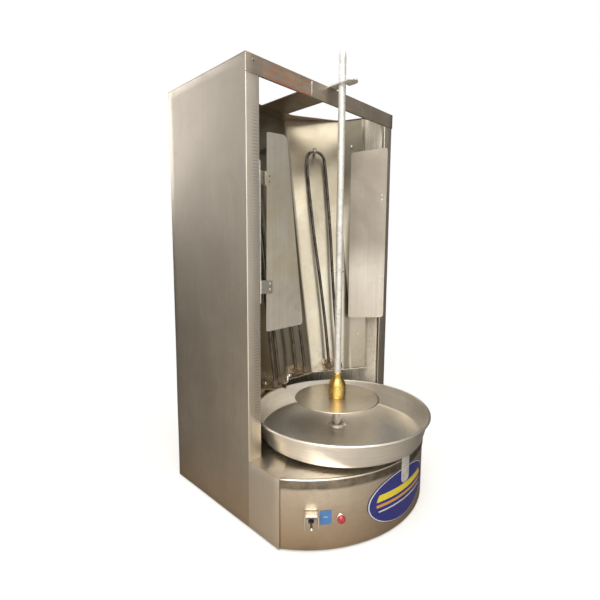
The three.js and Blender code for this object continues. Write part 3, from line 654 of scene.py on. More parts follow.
def heat_tint_and_painted_shade(s):
    """Reflector: straw and burnt heat tint low down, painted shade over its left and centre facets and
    towards its top, a painted reflection of the spit and right shield as a dark leaning streak, and a painted
    shadow of the right shield low on its right facets.
    """
    height = s.axis("Z")
    low = s.rise(0.34, 0.25)
    cloud = s.noise(9, 4, 0.6, distort=0.9)
    s.over(s.remap(cloud, 0.42, 0.68, 0.0, 0.26), (0.80, 0.66, 0.38))
    s.over(s.times(low, s.remap(s.noise(75, 5, 0.7), 0.44, 0.70, 0.0, 0.5)), (0.30, 0.20, 0.12))
    fold = s.math("MULTIPLY_ADD", height, -0.018, s.axis("X"))  # even along the sheet's folds
    # painted shade: the left and centre facets darker, beside their folds
    s.over(s.remap(fold, 0.060, 0.048, 0.0, 0.62), (0.24, 0.20, 0.14))
    # painted shade: darker and browner towards the top, most at the very top
    upper = s.times(s.rise(0.46, 0.70), s.remap(cloud, 0.30, 0.65, 0.62, 0.88))
    s.over(upper, (0.36, 0.315, 0.235))
    s.over(s.rise(0.66, 0.86, 0.0, 0.55), (0.16, 0.14, 0.105))
    lean = s.math("MULTIPLY_ADD", height, -0.074, fold)  # even along the reflected streak
    # painted reflection: a dark leaning streak where the spit and right shield would mirror
    streak = s.times(s.remap(lean, 0.1150, 0.1220), s.remap(lean, 0.1375, 0.1305, 0.0, 0.72))
    s.over(s.times(streak, s.rise(0.84, 0.70)), (0.10, 0.085, 0.065))
    # painted shadow of the right shield, low on the right facets
    s.over(s.times(s.remap(fold, 0.155, 0.161), s.rise(0.47, 0.40, 0.0, 0.62)), (0.30, 0.265, 0.21))
    freckle = s.remap(s.noise(420, 3, 0.6), 0.66, 0.74)
    s.over(s.times(freckle, s.math("MULTIPLY_ADD", low, 0.45, 0.08)), (0.12, 0.08, 0.05))


def dull_right(s):
    """The liner's right wall is matt, away from the heaters."""
    return s.remap(s.axis("X"), 0.12, 0.18, 1.0, 0.35)


def darker_top_and_straw_stain(s):
    """Left shield: painted darker towards the top, with a pale olive heat stain over its middle."""
    s.over(s.rise(0.48, 0.72, 0.0, 0.42), (0.36, 0.32, 0.26))
    stain = s.remap(s.noise(11, 4, 0.6, distort=0.8), 0.40, 0.62, 0.0, 0.45)
    s.over(s.times(s.times(s.rise(0.45, 0.55), s.rise(0.78, 0.66)), stain), (0.66, 0.58, 0.34))


def old_label(s):
    """Worn orange film left on the front of the top bar: two plain broken bands."""
    pitch = 0.0125
    across = s.axis("X")
    reach = s.times(s.remap(across, -0.203, -0.199), s.remap(across, -0.066, -0.070))
    on_face = s.math("LESS_THAN", s.axis("Y"), top_lo.y + 0.001)
    film = s.times(s.times(reach, on_face), s.math("LESS_THAN", s.axis("Z"), top_hi.z - 0.006))
    s.over(s.times(film, 0.4), (0.55, 0.45, 0.34))
    band = s.math("LESS_THAN", s.math("FRACT", s.math("DIVIDE", s.axis("Z"), pitch)), 0.5)
    worn = s.remap(s.noise(95, 4, 0.6), 0.40, 0.54)
    s.over(s.times(s.times(s.times(film, band), worn), 0.55), (0.72, 0.22, 0.08))


def turned_brass():
    s = Shader("turned_brass")
    groove = s.math("SINE", s.times(s.axis("Z"), 5200.0))
    tarnish = s.remap(s.noise(150, 4, 0.6, distort=1.0), 0.5, 0.7)
    s.cloudy((0.62, 0.40, 0.10), (0.90, 0.66, 0.24), s.noise(70, 4, 0.6))
    s.over(s.remap(groove, -1, 1, 0.0, 0.3), (0.42, 0.25, 0.06))
    s.over(s.times(tarnish, 0.4), (0.22, 0.12, 0.04))
    return s.finish(s.blur(tarnish, 0.2, 0.24), s.bump(groove, 0.00006, 0.6), Metallic=1.0)


def heater_oxide():
    s = Shader("heater_oxide")
    scale = s.noise(520, 4, 0.65)
    patch = s.noise(38, 4, 0.6, distort=1.0)
    s.cloudy((0.055, 0.050, 0.043), (0.165, 0.148, 0.125), patch, 0.35)
    s.over(s.times(s.rise(0.40, 0.25), s.remap(patch, 0.3, 0.6)), (0.135, 0.085, 0.055))
    return s.finish(s.blur(scale, 0.30, 0.18), s.bump(scale, 0.00012, 0.7), Metallic=0.75)


def red_lens():
    s = Shader("red_lens")
    cells = s.node("ShaderNodeTexVoronoi")
    s.put(cells.inputs["Vector"], s.position)
    cells.inputs["Scale"].default_value = 520
    cell = cells.outputs["Distance"]
    s.cloudy((0.75, 0.03, 0.04), (0.34, 0.005, 0.012), cell, 0.1, 0.6)
    return s.finish(s.blur(s.noise(240, 3, 0.5), 0.12, 0.08), s.bump(cell, 0.0003, 0.6),
                    Coat_Weight=1.0, Coat_Roughness=0.06)


def band(s, value, middle_at, half):
    return s.math("LESS_THAN", s.math("ABSOLUTE", s.math("SUBTRACT", value, middle_at)), half)


def blue_film():
    """Plain blue film with one pale bar, scuffed."""
    s = Shader("blue_film")
    u, v, _ = s.split(s.node("ShaderNodeUVMap").outputs[0])
    scuff = s.remap(s.noise(700, 4, 0.65), 0.45, 0.7)
    s.tone = s.mix(s.noise(180, 3), (0.035, 0.145, 0.40), (0.06, 0.21, 0.52))
    s.over(s.times(s.times(band(s, u, 0.0, 0.38), band(s, v, 0.1, 0.09)), 0.55), (0.62, 0.66, 0.74))
    s.over(s.times(scuff, 0.22), (0.45, 0.5, 0.58))
    return s.finish(s.blur(scuff, 0.3, 0.28), s.bump(scuff, 0.00004, 0.5), Coat_Weight=0.3)


def badge_print():
    """Plain printed oval: blue field with a pale rim and three straight level stripes, scuffed."""
    s = Shader("badge_print")
    u, v, _ = s.split(s.node("ShaderNodeUVMap").outputs[0])
    reach = s.math("SQRT", s.math("ADD", s.math("POWER", u, 2), s.math("POWER", v, 2)))
    inside = s.math("LESS_THAN", reach, 0.80)
    s.tone = s.mix(s.noise(60, 3), (0.010, 0.013, 0.14), (0.018, 0.024, 0.22))
    stripes = ((0.22, 0.13, (0.74, 0.60, 0.03)), (-0.08, 0.055, (0.62, 0.30, 0.05)),
               (-0.30, 0.03, (0.60, 0.60, 0.58)))
    for middle_at, half, colour in stripes:
        s.over(s.times(band(s, v, middle_at, half), inside), colour)
    s.over(band(s, reach, 0.975, 0.014), (0.62, 0.62, 0.62))
    worn = s.remap(s.noise(300, 4, 0.65), 0.56, 0.70)
    s.over(s.times(worn, 0.30), (0.20, 0.19, 0.22))
    return s.finish(s.blur(worn, 0.3, 0.30), s.bump(s.noise(40, 2), 0.0003, 0.5), Coat_Weight=0.25)


def heat_tinted_steel():
    """Steel blued and browned by the heaters, with burnt-on fat."""
    s = Shader("heat_tinted_steel")
    crust = s.remap(s.noise(190, 5, 0.7), 0.46, 0.66)
    s.cloudy((0.42, 0.27, 0.13), (0.74, 0.62, 0.42), s.noise(60, 4, 0.6, distort=1.0), 0.34, 0.66)
    s.over(s.remap(s.noise(900, 3, 0.6), 0.3, 0.7, 0.0, 0.3), (0.80, 0.70, 0.52))
    s.over(s.times(crust, 0.75), (0.10, 0.055, 0.03))
    return s.finish(s.blur(crust, 0.35, 0.32, clamp=True), s.bump(crust, 0.0002, 0.6), Metallic=0.9)


FINISH = {  # what each finish is in the frame's words, and its material
    "side": ("stainless", steel(
        "steel_side", (0.53, 0.475, 0.395), (0.44, 0.385, 0.315), rough=0.36, dents=0.0007, painted_floor_reflection=0.5,
        extra=painted_sheen_and_press_marks)),
    "bar": ("stainless", steel(
        "steel_bar", (0.52, 0.45, 0.37), (0.40, 0.335, 0.27), rough=0.36, grain="x", dents=0.0004,
        grime=0.6, extra=old_label)),
    "rear": ("stainless", steel(
        "steel_rear", (0.56, 0.50, 0.42), (0.36, 0.31, 0.25), rough=0.38, dents=0.0009, grime=0.6,
        painted_floor_reflection=0.35)),
    "liner": ("stainless", steel(
        "steel_liner", (0.95, 0.88, 0.77), (0.80, 0.73, 0.61), rough=0.27, extra=dull_right)),
    "reflector": ("bright_steel", steel(
        "steel_reflector", (0.86, 0.80, 0.67), (0.70, 0.63, 0.50), rough=0.31, grime=0.3, extra=heat_tint_and_painted_shade)),
    "shield": ("bright_steel", steel(
        "steel_shield", (0.98, 0.92, 0.81), (0.82, 0.75, 0.64), rough=0.34, extra=darker_top_and_straw_stain, streaks=0.3,
        metal=0.82)),
    "shield_right": ("bright_steel", steel(
        "steel_shield_right", (0.62, 0.58, 0.51), (0.48, 0.44, 0.37), rough=0.40, grime=0.4,
        extra=darker_on_top, streaks=0.25)),
    "front": ("stainless", steel(
        "steel_front", (0.74, 0.67, 0.57), (0.55, 0.485, 0.40), grain="x", painted_floor_reflection=0.55, extra=painted_shadow_under_lip)),
    "base_top": ("stainless", steel(
        "steel_base_top", (0.86, 0.79, 0.68), (0.66, 0.59, 0.48), grain="x", dents=0.0005, grime=0.6,
        extra=dark_lip)),
    "bright": ("bright_steel", steel(
        "steel_bright", (0.82, 0.79, 0.73), (0.62, 0.59, 0.53), rough=0.26, dents=0.0001)),
    "dull": ("dull_steel", steel(
        "steel_dull", (0.30, 0.27, 0.23), (0.17, 0.15, 0.125), rough=0.48, grain="x", dents=0.0004,
        grime=1.0)),
    "pan": ("bright_steel", spun(
        "pan_aluminium", (0.95, 0.91, 0.84), (0.80, 0.75, 0.67), PAN, rough=0.33, rings=520, grime=0.35,
        metal=0.9)),
    "disc": ("stainless", spun(
        "disc_steel", (0.80, 0.74, 0.64), (0.64, 0.58, 0.49), SPIT, rough=0.34, rings=1100, grime=0.4)),
    "shaft": ("bright_steel", spun(
        "shaft_steel", (0.85, 0.82, 0.76), (0.62, 0.59, 0.54), SPIT, rough=0.26, rings=2400, grime=0.4)),
    "galvanised": ("zinc_plate", cast(
        "zinc_rough", (0.78, 0.775, 0.74), (0.60, 0.59, 0.55), rough=0.52, metal=0.6, size=420,
        depth=0.00025, stain=(0.2, 0.17, 0.13), stained=0.3)),
    "zinc": ("zinc_plate", cast(
        "zinc_plate", (0.74, 0.74, 0.70), (0.50, 0.49, 0.45), rough=0.36, size=900, depth=0.00008)),
    "chrome": ("bright_chrome", cast(
        "chrome", (0.92, 0.91, 0.88), (0.74, 0.72, 0.68), rough=0.16, size=700, depth=0.00003,
        stain=(0.25, 0.2, 0.14), stained=0.15)),
    "ceramic": ("heater_ceramic", cast(
        "sooted_ceramic", (0.17, 0.12, 0.085), (0.06, 0.042, 0.032), rough=0.8, metal=0.0, depth=0.0003)),
    "paint": ("motor_paint", cast(
        "motor_paint", (0.085, 0.095, 0.10), (0.05, 0.056, 0.06), rough=0.5, metal=0.2, size=800,
        depth=0.0001, stain=(0.16, 0.12, 0.08), stained=0.3)),
    "screw": ("zinc_plate", cast(
        "screw_steel", (0.78, 0.75, 0.68), (0.52, 0.49, 0.43), rough=0.30, size=1500, depth=0.00005)),
    "rubber": ("rubber_foot", moulded("rubber", (0.022, 0.022, 0.023), rough=0.75)),
    "plastic": ("black_plastic", moulded("black_plastic", (0.03, 0.03, 0.032), rough=0.42, coat=0.2)),
    "brass": ("ferrule_brass", turned_brass()),
    "oxide": ("heater_sheath", heater_oxide()),
    "lens": ("red_lens", red_lens()),
    "film": ("blue_print", blue_film()),
    "badge": ("badge_print", badge_print()),
    "tinted": ("dull_steel", heat_tinted_steel()),
}


def piece(obj, finish, node=None, body="cabinet"):
    """A finished piece that rides on a body, in place of a CAD node if one is given."""
    slot, material = FINISH[finish]
    obj.data.materials.clear()
    obj.data.materials.append(material)
    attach(obj, body)
    if node:
        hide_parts(node)
    return obj


def keep(node, finish, edge=0.0004):
    """A CAD node that stays as it is, with a finished material and rounded edges."""
    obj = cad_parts[node]
    obj.data.materials.clear()
    obj.data.materials.append(FINISH[finish][1])
    soften(obj, edge)


# ---------------------------------------------------------------- fasteners
def pan_screw(name, point, outward, radius, node=None, body="cabinet", rise=0.55):
    """Pan-head screw with a cross recess."""
    height = radius * rise
    head = lathe(name, [
        (0, -0.0002), (radius * 0.98, -0.0002), (radius, height * 0.3), (radius * 0.86, height * 0.75),
        (radius * 0.5, height * 0.97), (0, height),
    ], segments=24)
    wide, thin = radius * 0.62, radius * 0.12
    corners = [Vector((x, y, z)) for z in (height * 0.45, height * 1.5)
               for x, y in ((-wide, -thin), (wide, -thin), (wide, thin), (-wide, thin))]
    faces = [(3, 2, 1, 0), (4, 5, 6, 7), (0, 1, 5, 4), (1, 2, 6, 5), (2, 3, 7, 6), (3, 0, 4, 7)]
    spins = [Matrix.Rotation(turn + 0.4, 3, "Z") for turn in (0, math.pi / 2)]
    blades = [mesh_piece(name + "_cut", [spin @ c for c in corners], faces) for spin in spins]
    made = cut(name, head, blades)
    made.data.transform(facing(point, outward))
    piece(made, "screw", node, body)


def clip_screws(name, node, x, y, outward, radius, body):
    """Two screws, one over the other, on a shield's clip."""
    lo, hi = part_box(node)
    for k, height in enumerate((0.28, 0.72)):
        spot = Vector((x, y, lo.z + (hi.z - lo.z) * height))
        pan_screw(f"{name}_{k + 1}", spot, outward, radius, body=body)


# ---------------------------------------------------------------- cabinet shell
def side_panel(node, side):
    lo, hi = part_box(node)
    outer, inner = (lo.x, hi.x) if side < 0 else (hi.x, lo.x)
    bend_start = COLUMN_FRONT + BEND
    turned = rounded([(outer, bend_start), (outer, COLUMN_FRONT), (inner, COLUMN_FRONT),
                      (inner, COLUMN_FRONT + HEM)], [0, BEND, TIGHT_BEND, 0], 5)
    straight = [Vector((outer, y, 0)) for y in spaced(REAR, bend_start, GRID)]
    column = straight + divided(turned[1:], GRID)
    base_side = straight + [Vector((outer, y, 0)) for y in spaced(bend_start, lo.y, GRID)[1:]]
    if side > 0:
        column.reverse()
        base_side.reverse()
    upper = standing(column, spaced(BASE_TOP, hi.z, GRID))
    lower = standing(base_side, spaced(lo.z, BASE_TOP, GRID))
    piece(sheet(node + "_sheet", [upper, lower], wave=0.0005, wave_size=0.14), "side", node)


def top_plate():
    # Right-hand opening, from the centre line and the rear edge, and the radius of each corner.
    opening = [(0.043, 0.097), (0.060, 0.100), (0.171, 0.157), (0.193, 0.190), (0.204, 0.229), (0.204, 0.250),
               (0.043, 0.250)]
    corner_radii = [0.006, 0.03, 0.05, 0.05, 0.03, 0.009, 0.006]
    holes = [rounded([(side * x, REAR - y) for x, y in opening], corner_radii, 6, closed=True)
             for side in (1, -1)]
    bend_start = top_lo.y + BEND
    outline = [(top_lo.x, bend_start), (top_hi.x, bend_start), (top_hi.x, REAR), (top_lo.x, REAR)]
    flat = plate("top_flat", outline, holes, place=Matrix.Translation((0, 0, top_hi.z)), edge=0.0001)
    section = rounded([(0, bend_start, top_hi.z), (0, top_lo.y, top_hi.z), (0, top_lo.y, top_lo.z),
                       (0, top_lo.y + 0.0045, top_lo.z)], [0, BEND, TIGHT_BEND, 0], 5)
    section = reversed(divided(section, GRID))
    rows = [[Vector((x, p.y, p.z)) for x in spaced(top_lo.x, top_hi.x, GRID)] for p in section]
    bar = sheet("top_bar", [rows], wave=0.0003, wave_size=0.12)
    piece(join("top_frame_sheet", [flat, bar]), "bar", "top_frame")
    rivet = [(0, -0.0006), (0.0022, -0.0006), (0.0026, 0.0002), (0.0018, 0.0007), (0, 0.0008)]
    spot = Vector((top_lo.x + 0.016, top_lo.y, top_hi.z - 0.012))
    piece(lathe("bar_end_rivet", rivet, spot, segments=20, axis=FORWARD), "dull")
    joint_x = -0.068
    edge = [(joint_x, top_lo.y - FACE, z) for z in spaced(top_lo.z + 0.003, top_hi.z - 0.004, 0.006)]
    piece(sweep("bar_joint_edge", edge, 0.0007, 8), "bright")


def rear_panel():
    lo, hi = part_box("rear_panel")
    wide, tall = hi.x - lo.x, hi.z - lo.z
    first, pitch = wide / 2 - 0.178, 0.034
    holes = [slot_hole(0.024, 0.006, first + pitch * k, z) for k in range(6) for z in (0.055, 0.075, 0.095)]
    gland = middle("cord_gland")
    holes.append(circle(0.0084, hi.x - gland.x, gland.z - lo.z))
    outline = [(0, 0), (wide, 0), (wide, tall), (0, tall)]
    place = placement((-1, 0, 0), UP, (0, 1, 0), (hi.x, hi.y, lo.z))
    piece(plate("rear_panel_sheet", outline, holes, place=place), "rear", "rear_panel")
    spots = [(x, z) for x in (lo.x + 0.012, hi.x - 0.012) for z in spaced(lo.z + 0.03, hi.z - 0.03, 0.21)]
    spots += [(x, z) for x in (-0.08, 0.08) for z in (lo.z + 0.012, hi.z - 0.03)]
    for i, (x, z) in enumerate(spots):
        pan_screw(f"rear_screw_{i + 1}", Vector((x, hi.y, z)), (0, 1, 0), 0.0038)


def base():
    half = math.asin(HALF_BASE / FRONT_RADIUS)
    rim = FRONT_RADIUS - 0.006
    wide = HALF_BASE + GAP
    behind = [(wide, CORNER_Y), (wide, base_hi.y), (-wide, base_hi.y), (-wide, CORNER_Y)]
    holes = [circle(0.0125, SPIT.x, SPIT.y, 40), circle(0.0016, -0.17, COLUMN_FRONT - 0.045, 12)]
    flat = plate("base_flat", front_arc(rim, half, 0) + behind, holes,
                 place=Matrix.Translation((0, 0, BASE_TOP)), edge=0.0001)
    section = rounded([(rim, 0, BASE_TOP), (FRONT_RADIUS, 0, BASE_TOP), (FRONT_RADIUS, 0, base_lo.z),
                       (FRONT_RADIUS - 0.0012, 0, base_lo.z)], [0, 0.0045, 0.001, 0], 6)
    rows = [front_arc(p.x, half, p.z) for p in reversed(divided(section, 0.006))]
    lip = sheet("base_lip", [rows], wave=0.00035, wave_size=0.06)
    piece(join("base_top_sheet", [flat, lip]), "base_top", "base_top_plate")

    lo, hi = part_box("base_front_panel")
    reach = math.asin((HALF_BASE - GAP) / FACE_RADIUS)
    rows = [front_arc(FACE_RADIUS, reach, z, 60) for z in spaced(lo.z, hi.z, 0.012)]
    piece(sheet("base_front_sheet", [rows], wave=0.0004, wave_size=0.09), "front", "base_front_panel")
    keep("base_bottom_plate", "dull")

    for node in ("foot_rear_left", "foot_rear_right", "foot_front_left", "foot_front_right"):
        lo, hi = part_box(node)
        radius = (hi.x - lo.x) / 2
        pad = [(radius * share, lo.z + up) for share, up in (
            (0, 0), (0.5, 0), (0.55, 0.0006), (0.7, 0.0006), (0.74, 0), (0.9, 0), (0.98, 0.001))]
        pad += [(radius, hi.z), (0, hi.z)]
        piece(lathe(node + "_pad", pad, on_plan(middle(node)), segments=40), "rubber", node)


# ---------------------------------------------------------------- chamber
BEND_STEPS = 6


def folded_rows(lines, heights, radius, step_columns):
    """Rows of a folded sheet whose corners are bends; every row has the same number of points."""
    rows = []
    for line, height in zip(lines, heights):
        bent = rounded([on_plan(p) for p in line], radius, BEND_STEPS)
        row = [bent[0]]
        for stretch, (a, b) in enumerate(zip(bent, bent[1:])):
            flat = stretch % (BEND_STEPS + 1) == 0
            pieces = step_columns if flat else 1
            row += [a.lerp(b, (k + 1) / pieces) for k in range(pieces)]
        rows.append([on_plan(p, height) for p in row])
    return rows


reflector_lo, reflector_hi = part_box("heat_reflector")
REFLECTOR_UPSTAND = 0.0052  # upright edge that meets the top plate, above the facets
REFLECTOR_TOP_Z = reflector_hi.z - REFLECTOR_UPSTAND
REFLECTOR_FOOT_Z = reflector_lo.z + SHEET + 0.001
REFLECTOR_TOP = fold_line("heat_reflector", REFLECTOR_TOP_Z)
REFLECTOR_FOOT = fold_line("heat_reflector", REFLECTOR_FOOT_Z)


def chamber():
    lo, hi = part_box("chamber_liner")
    heights = spaced(lo.z, hi.z, 0.03)
    rows = folded_rows([fold_line("chamber_liner", hi.z)] * len(heights), heights, 0.008, 5)
    piece(sheet("chamber_liner_sheet", [rows], wave=0.0006, wave_size=0.13), "liner", "chamber_liner")

    steps = 34
    heights = [REFLECTOR_FOOT_Z + (REFLECTOR_TOP_Z - REFLECTOR_FOOT_Z) * k / steps for k in range(steps + 1)]
    lines = [[a.lerp(b, k / steps) for a, b in zip(REFLECTOR_FOOT, REFLECTOR_TOP)] for k in range(steps + 1)]
    rows = folded_rows([*lines, REFLECTOR_TOP], [*heights, reflector_hi.z], 0.016, 8)
    front_lip = [p + Vector((0, -0.0075, -0.001)) for p in rows[0]]
    obj = sheet("reflector_sheet", [[front_lip, *rows]], wave=0.0008, wave_size=0.12)
    piece(obj, "reflector", "heat_reflector")
    # a rolled hem along the reflector's top in dark steel, standing in as a painted shadow line in the gap at
    # the top
    hem = [p + Vector((0, -0.0004, -0.0008)) for p in rows[-1]]
    piece(sweep("reflector_top_shadow_hem", hem, 0.0016, 8), "dull")
    foot_edge = [p + Vector((0, -0.0002, 0)) for p in front_lip]
    piece(sweep("reflector_foot_edge", foot_edge, 0.0011, 8), "bright")


def facet_place(facet, t):
    """Frame on a reflector facet: +X to its right, +Y up it, +Z out. t is 0 at the foot and 1 at the top."""
    foot = REFLECTOR_FOOT[facet:facet + 2]
    top = REFLECTOR_TOP[facet:facet + 2]
    low = on_plan((foot[0] + foot[1]) / 2, REFLECTOR_FOOT_Z)
    high = on_plan((top[0] + top[1]) / 2, REFLECTOR_TOP_Z)
    across = on_plan((foot[1] - foot[0]).lerp(top[1] - top[0], t)).normalized()
    normal = across.cross((high - low).normalized()).normalized()
    return placement(across, normal.cross(across), normal, low.lerp(high, t))


def facet_point(facet, s, out, t):
    return facet_place(facet, t) @ Vector((s, 0, out))


def facet_normal(facet, t):
    return facet_place(facet, t).to_3x3() @ UP


FACETS = {"left": 1, "centre": 2, "right": 3}
STANDOFF = 0.020
HEATER_RADIUS = 0.004
LEG_X = 0.015               # half the spacing of a heater's legs at the foot
# Half spacing of a leg from the heater's middle against the fraction of the reflector's height.
LEG_FOOT = [(LEG_X, 0.004), (LEG_X, 0.08)]
BENT_FOOT = [(0.035, 0.014), (0.027, 0.016), (0.0185, 0.032), (0.0155, 0.07)]
HEATER_LEG = [(LEG_X, 0.20), (0.018, 0.37), (0.0225, 0.53), (0.0245, 0.69), (0.0245, 0.80), (0.0232, 0.841),
              (0.0184, 0.8585), (0.0105, 0.8695)]
HEATER_CROWN = 0.872
FOOT_SEAT = {"left": 0.0002, "centre": 0.00035, "right": 0.0012}  # the sheet over each facet's mean plane
FOOT_LOW, FOOT_HIGH = 0.006, 0.030
FOOT_HALF = 0.026
FOOT_SHEET = 0.0014


def foot_part(name, left, span, radii, steps, holes, place):
    """Plate of a heater's foot from left to the foot's right end. radii are its lower and upper corners'."""
    (low, high), (lower, upper) = span, radii
    corners = [(left, low), (FOOT_HALF, low), (FOOT_HALF, high), (left, high)]
    outline = rounded(corners, [lower, lower, upper, upper], steps, closed=True)
    return plate(name, outline, holes, FOOT_SHEET, place)


def heater_foot(place, facet):
    """Bent plate on the reflector with a shelf, and a fired bushing round each straight leg."""
    seat = FOOT_SEAT[place]
    frame_on = facet_place(facet, 0)
    bent = place == "centre"
    on_facet = frame_on @ Matrix.Translation((0, 0, seat))
    back = foot_part(f"heater_foot_back_{place}", -FOOT_HALF - 0.004, (FOOT_LOW, FOOT_HIGH), (0.001, 0.007),
                     6, (), on_facet)
    legs = (1,) if bent else (-1, 1)
    holes = [circle(HEATER_RADIUS + 0.0012, LEG_X * side, STANDOFF, 24) for side in legs]
    upward = frame_on @ placement((1, 0, 0), UP, (0, 1, 0), (0, FOOT_LOW, 0))
    shelf = foot_part(f"heater_foot_shelf_{place}", 0.004 if bent else -FOOT_HALF, (seat, 0.028),
                      (0.0005, 0.005), 5, holes, upward)
    piece(join(f"heater_foot_plate_{place}", [back, shelf]), "tinted", f"heater_foot_{place}")
    for side in legs:
        low = facet_point(facet, side * LEG_X, STANDOFF, 0.011)
        axis = (facet_point(facet, side * LEG_X, STANDOFF, 0.05) - low).normalized()
        inner, outer, tall = HEATER_RADIUS + 0.0005, 0.0074, 0.0135
        bushing = lathe(f"heater_bushing_{place}_{'l' if side < 0 else 'r'}", [
            (inner, 0), (outer * 0.94, 0), (outer, 0.0006), (outer, tall * 0.45), (outer * 0.86, tall * 0.5),
            (outer * 0.86, tall - 0.001), (outer * 0.78, tall), (inner, tall), (inner, 0),
        ], low, segments=32, axis=axis)
        piece(bushing, "ceramic")
    spots = ((-0.0235, 0.0185), (0.0 if bent else 0.0205, 0.0205))
    for k, (x, y) in enumerate(spots):
        spot = frame_on @ Vector((x, y, seat + FOOT_SHEET))
        pan_screw(f"heater_foot_screw_{place}_{k + 1}", spot, facet_normal(facet, 0), 0.0042)


def heater_lead():
    """Rod that runs on from the centre heater's bent foot to its small bracket."""
    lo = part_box("heater_lead")[0]
    end = facet_point(FACETS["centre"], -0.0359, STANDOFF, 0.014)
    path = [end, end + Vector((-0.009, 0, -0.0006)), lo + Vector((0.0124, 0.0064, 0.0035)),
            lo + Vector((0.0006, 0.0030, 0.0026))]
    piece(sweep("heater_lead_rod", catmull(path), 0.0026, 14), "chrome", "heater_lead")
    sleeve = [end + Vector((0.0004, 0, 0)), end + Vector((-0.007, 0, -0.0004))]
    piece(sweep("heater_lead_sleeve", sleeve, 0.0036, 16), "chrome")
    keep("lead_bracket", "chrome", 0.0004)


def heaters():
    for place, facet in FACETS.items():
        left_foot = BENT_FOOT if place == "centre" else LEG_FOOT
        left = [facet_point(facet, -s, STANDOFF, t) for s, t in [*left_foot, *HEATER_LEG]]
        right = [facet_point(facet, s, STANDOFF, t) for s, t in reversed([*LEG_FOOT, *HEATER_LEG])]
        path = catmull([*left, facet_point(facet, 0, STANDOFF, HEATER_CROWN), *right])
        node = f"heater_element_{place}"
        piece(sweep(node + "_rod", path, HEATER_RADIUS, 16), "oxide", node)
        keep(f"heater_clip_{place}", "dull", 0.0005)
        heater_foot(place, facet)
        crown = facet_point(facet, 0, STANDOFF + HEATER_RADIUS + 0.0023, HEATER_CROWN)
        pan_screw(f"heater_clip_screw_{place}", crown, facet_normal(facet, HEATER_CROWN), 0.0026)
    heater_lead()
    for i, (facet, z) in enumerate(((4, 0.345), (0, 0.345), (4, 0.86), (0, 0.86))):
        t = (z - REFLECTOR_FOOT_Z) / (REFLECTOR_TOP_Z - REFLECTOR_FOOT_Z)
        spot = facet_point(facet, 0, 0.0006, t)
        pan_screw(f"reflector_screw_{i + 1}", spot, facet_normal(facet, t), 0.004)


# ---------------------------------------------------------------- heat shields
SHIELD_ROD = 0.0025         # radius of a hinge rod


def welded_knuckle():
    """Upper left hinge: a strip rolled round the rod and spot-welded behind the plate."""
    lo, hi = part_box("shield_left_clip_upper")
    rod_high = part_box("shield_rod_left")[1]
    plate_low, plate_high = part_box("shield_left")
    inner, outer = 0.0029, 0.0040
    axis = Vector((rod_high.x - SHIELD_ROD, rod_high.y - SHIELD_ROD, 0))
    tail_y = plate_high.y + 0.0013
    line = [Vector((hi.x - 0.002, tail_y, 0)), Vector((axis.x + outer + 0.001, tail_y, 0))]
    line += [axis + Vector((math.cos(a) * outer, math.sin(a) * outer, 0)) for a in spaced(-1.2, 4.2, 0.25)]
    strip = sheet("shield_left_knuckle", [standing(line, spaced(lo.z, hi.z, 0.006))], thickness=outer - inner,
                  edge=0.0002)
    piece(strip, "bright", "shield_left_clip_upper", "left_shield")
    dimple = [(0, 0.00005), (0.0008, 0.0001), (0.0013, 0.0004), (0.0018, 0.0003), (0.0021, 0.0),
              (0.0021, -0.0003), (0, -0.0003)]
    for k, height in enumerate((0.30, 0.70)):
        spot = Vector((hi.x - 0.006, plate_low.y - FACE, lo.z + (hi.z - lo.z) * height))
        weld_mark = lathe(f"shield_left_weld_{k + 1}", dimple, spot, segments=20, axis=FORWARD)
        piece(weld_mark, "dull", body="left_shield")


def shields():
    keep("shield_left", "shield")
    keep("shield_right", "shield_right")
    for clip in ("left_clip_lower", "right_clip_lower", "right_clip_upper"):
        keep(f"shield_{clip}", "bright", 0.0003)
    for side in ("left", "right"):
        lo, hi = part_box(f"shield_rod_{side}")
        x = hi.x - SHIELD_ROD
        low, high = lo.z + SHIELD_ROD, hi.z - SHIELD_ROD
        if side == "left":
            y = hi.y - SHIELD_ROD
            foot_x, foot_y = lo.x, y
        else:
            y = lo.y + SHIELD_ROD
            foot_x, foot_y = x, hi.y
        corners = [(foot_x, foot_y, low), (x, y, low), (x, y, high), (foot_x, foot_y, high)]
        rod = sweep(f"shield_rod_{side}_bar", divided(rounded(corners, 0.004, 6), 0.02), SHIELD_ROD)
        piece(rod, "zinc", f"shield_rod_{side}")
    lo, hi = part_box("shield_left_clip_lower")
    clip_screws("left_clip_screw_lower", "shield_left_clip_lower", hi.x - 0.006, lo.y - 0.0001, FORWARD,
                0.0027, "left_shield")
    welded_knuckle()
    lo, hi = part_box("shield_right")
    along = Vector((lo.x - hi.x, hi.y - lo.y, 0)).normalized()
    outward = Vector((-along.y, along.x, 0))
    if outward.x > 0:
        outward.negate()
    spot = Vector((hi.x, lo.y, 0)) + along * 0.012 + outward * FACE
    for level in ("lower", "upper"):
        clip_screws(f"right_clip_rivet_{level}", f"shield_right_clip_{level}", spot.x, spot.y, outward,
                    0.0026, "right_shield")


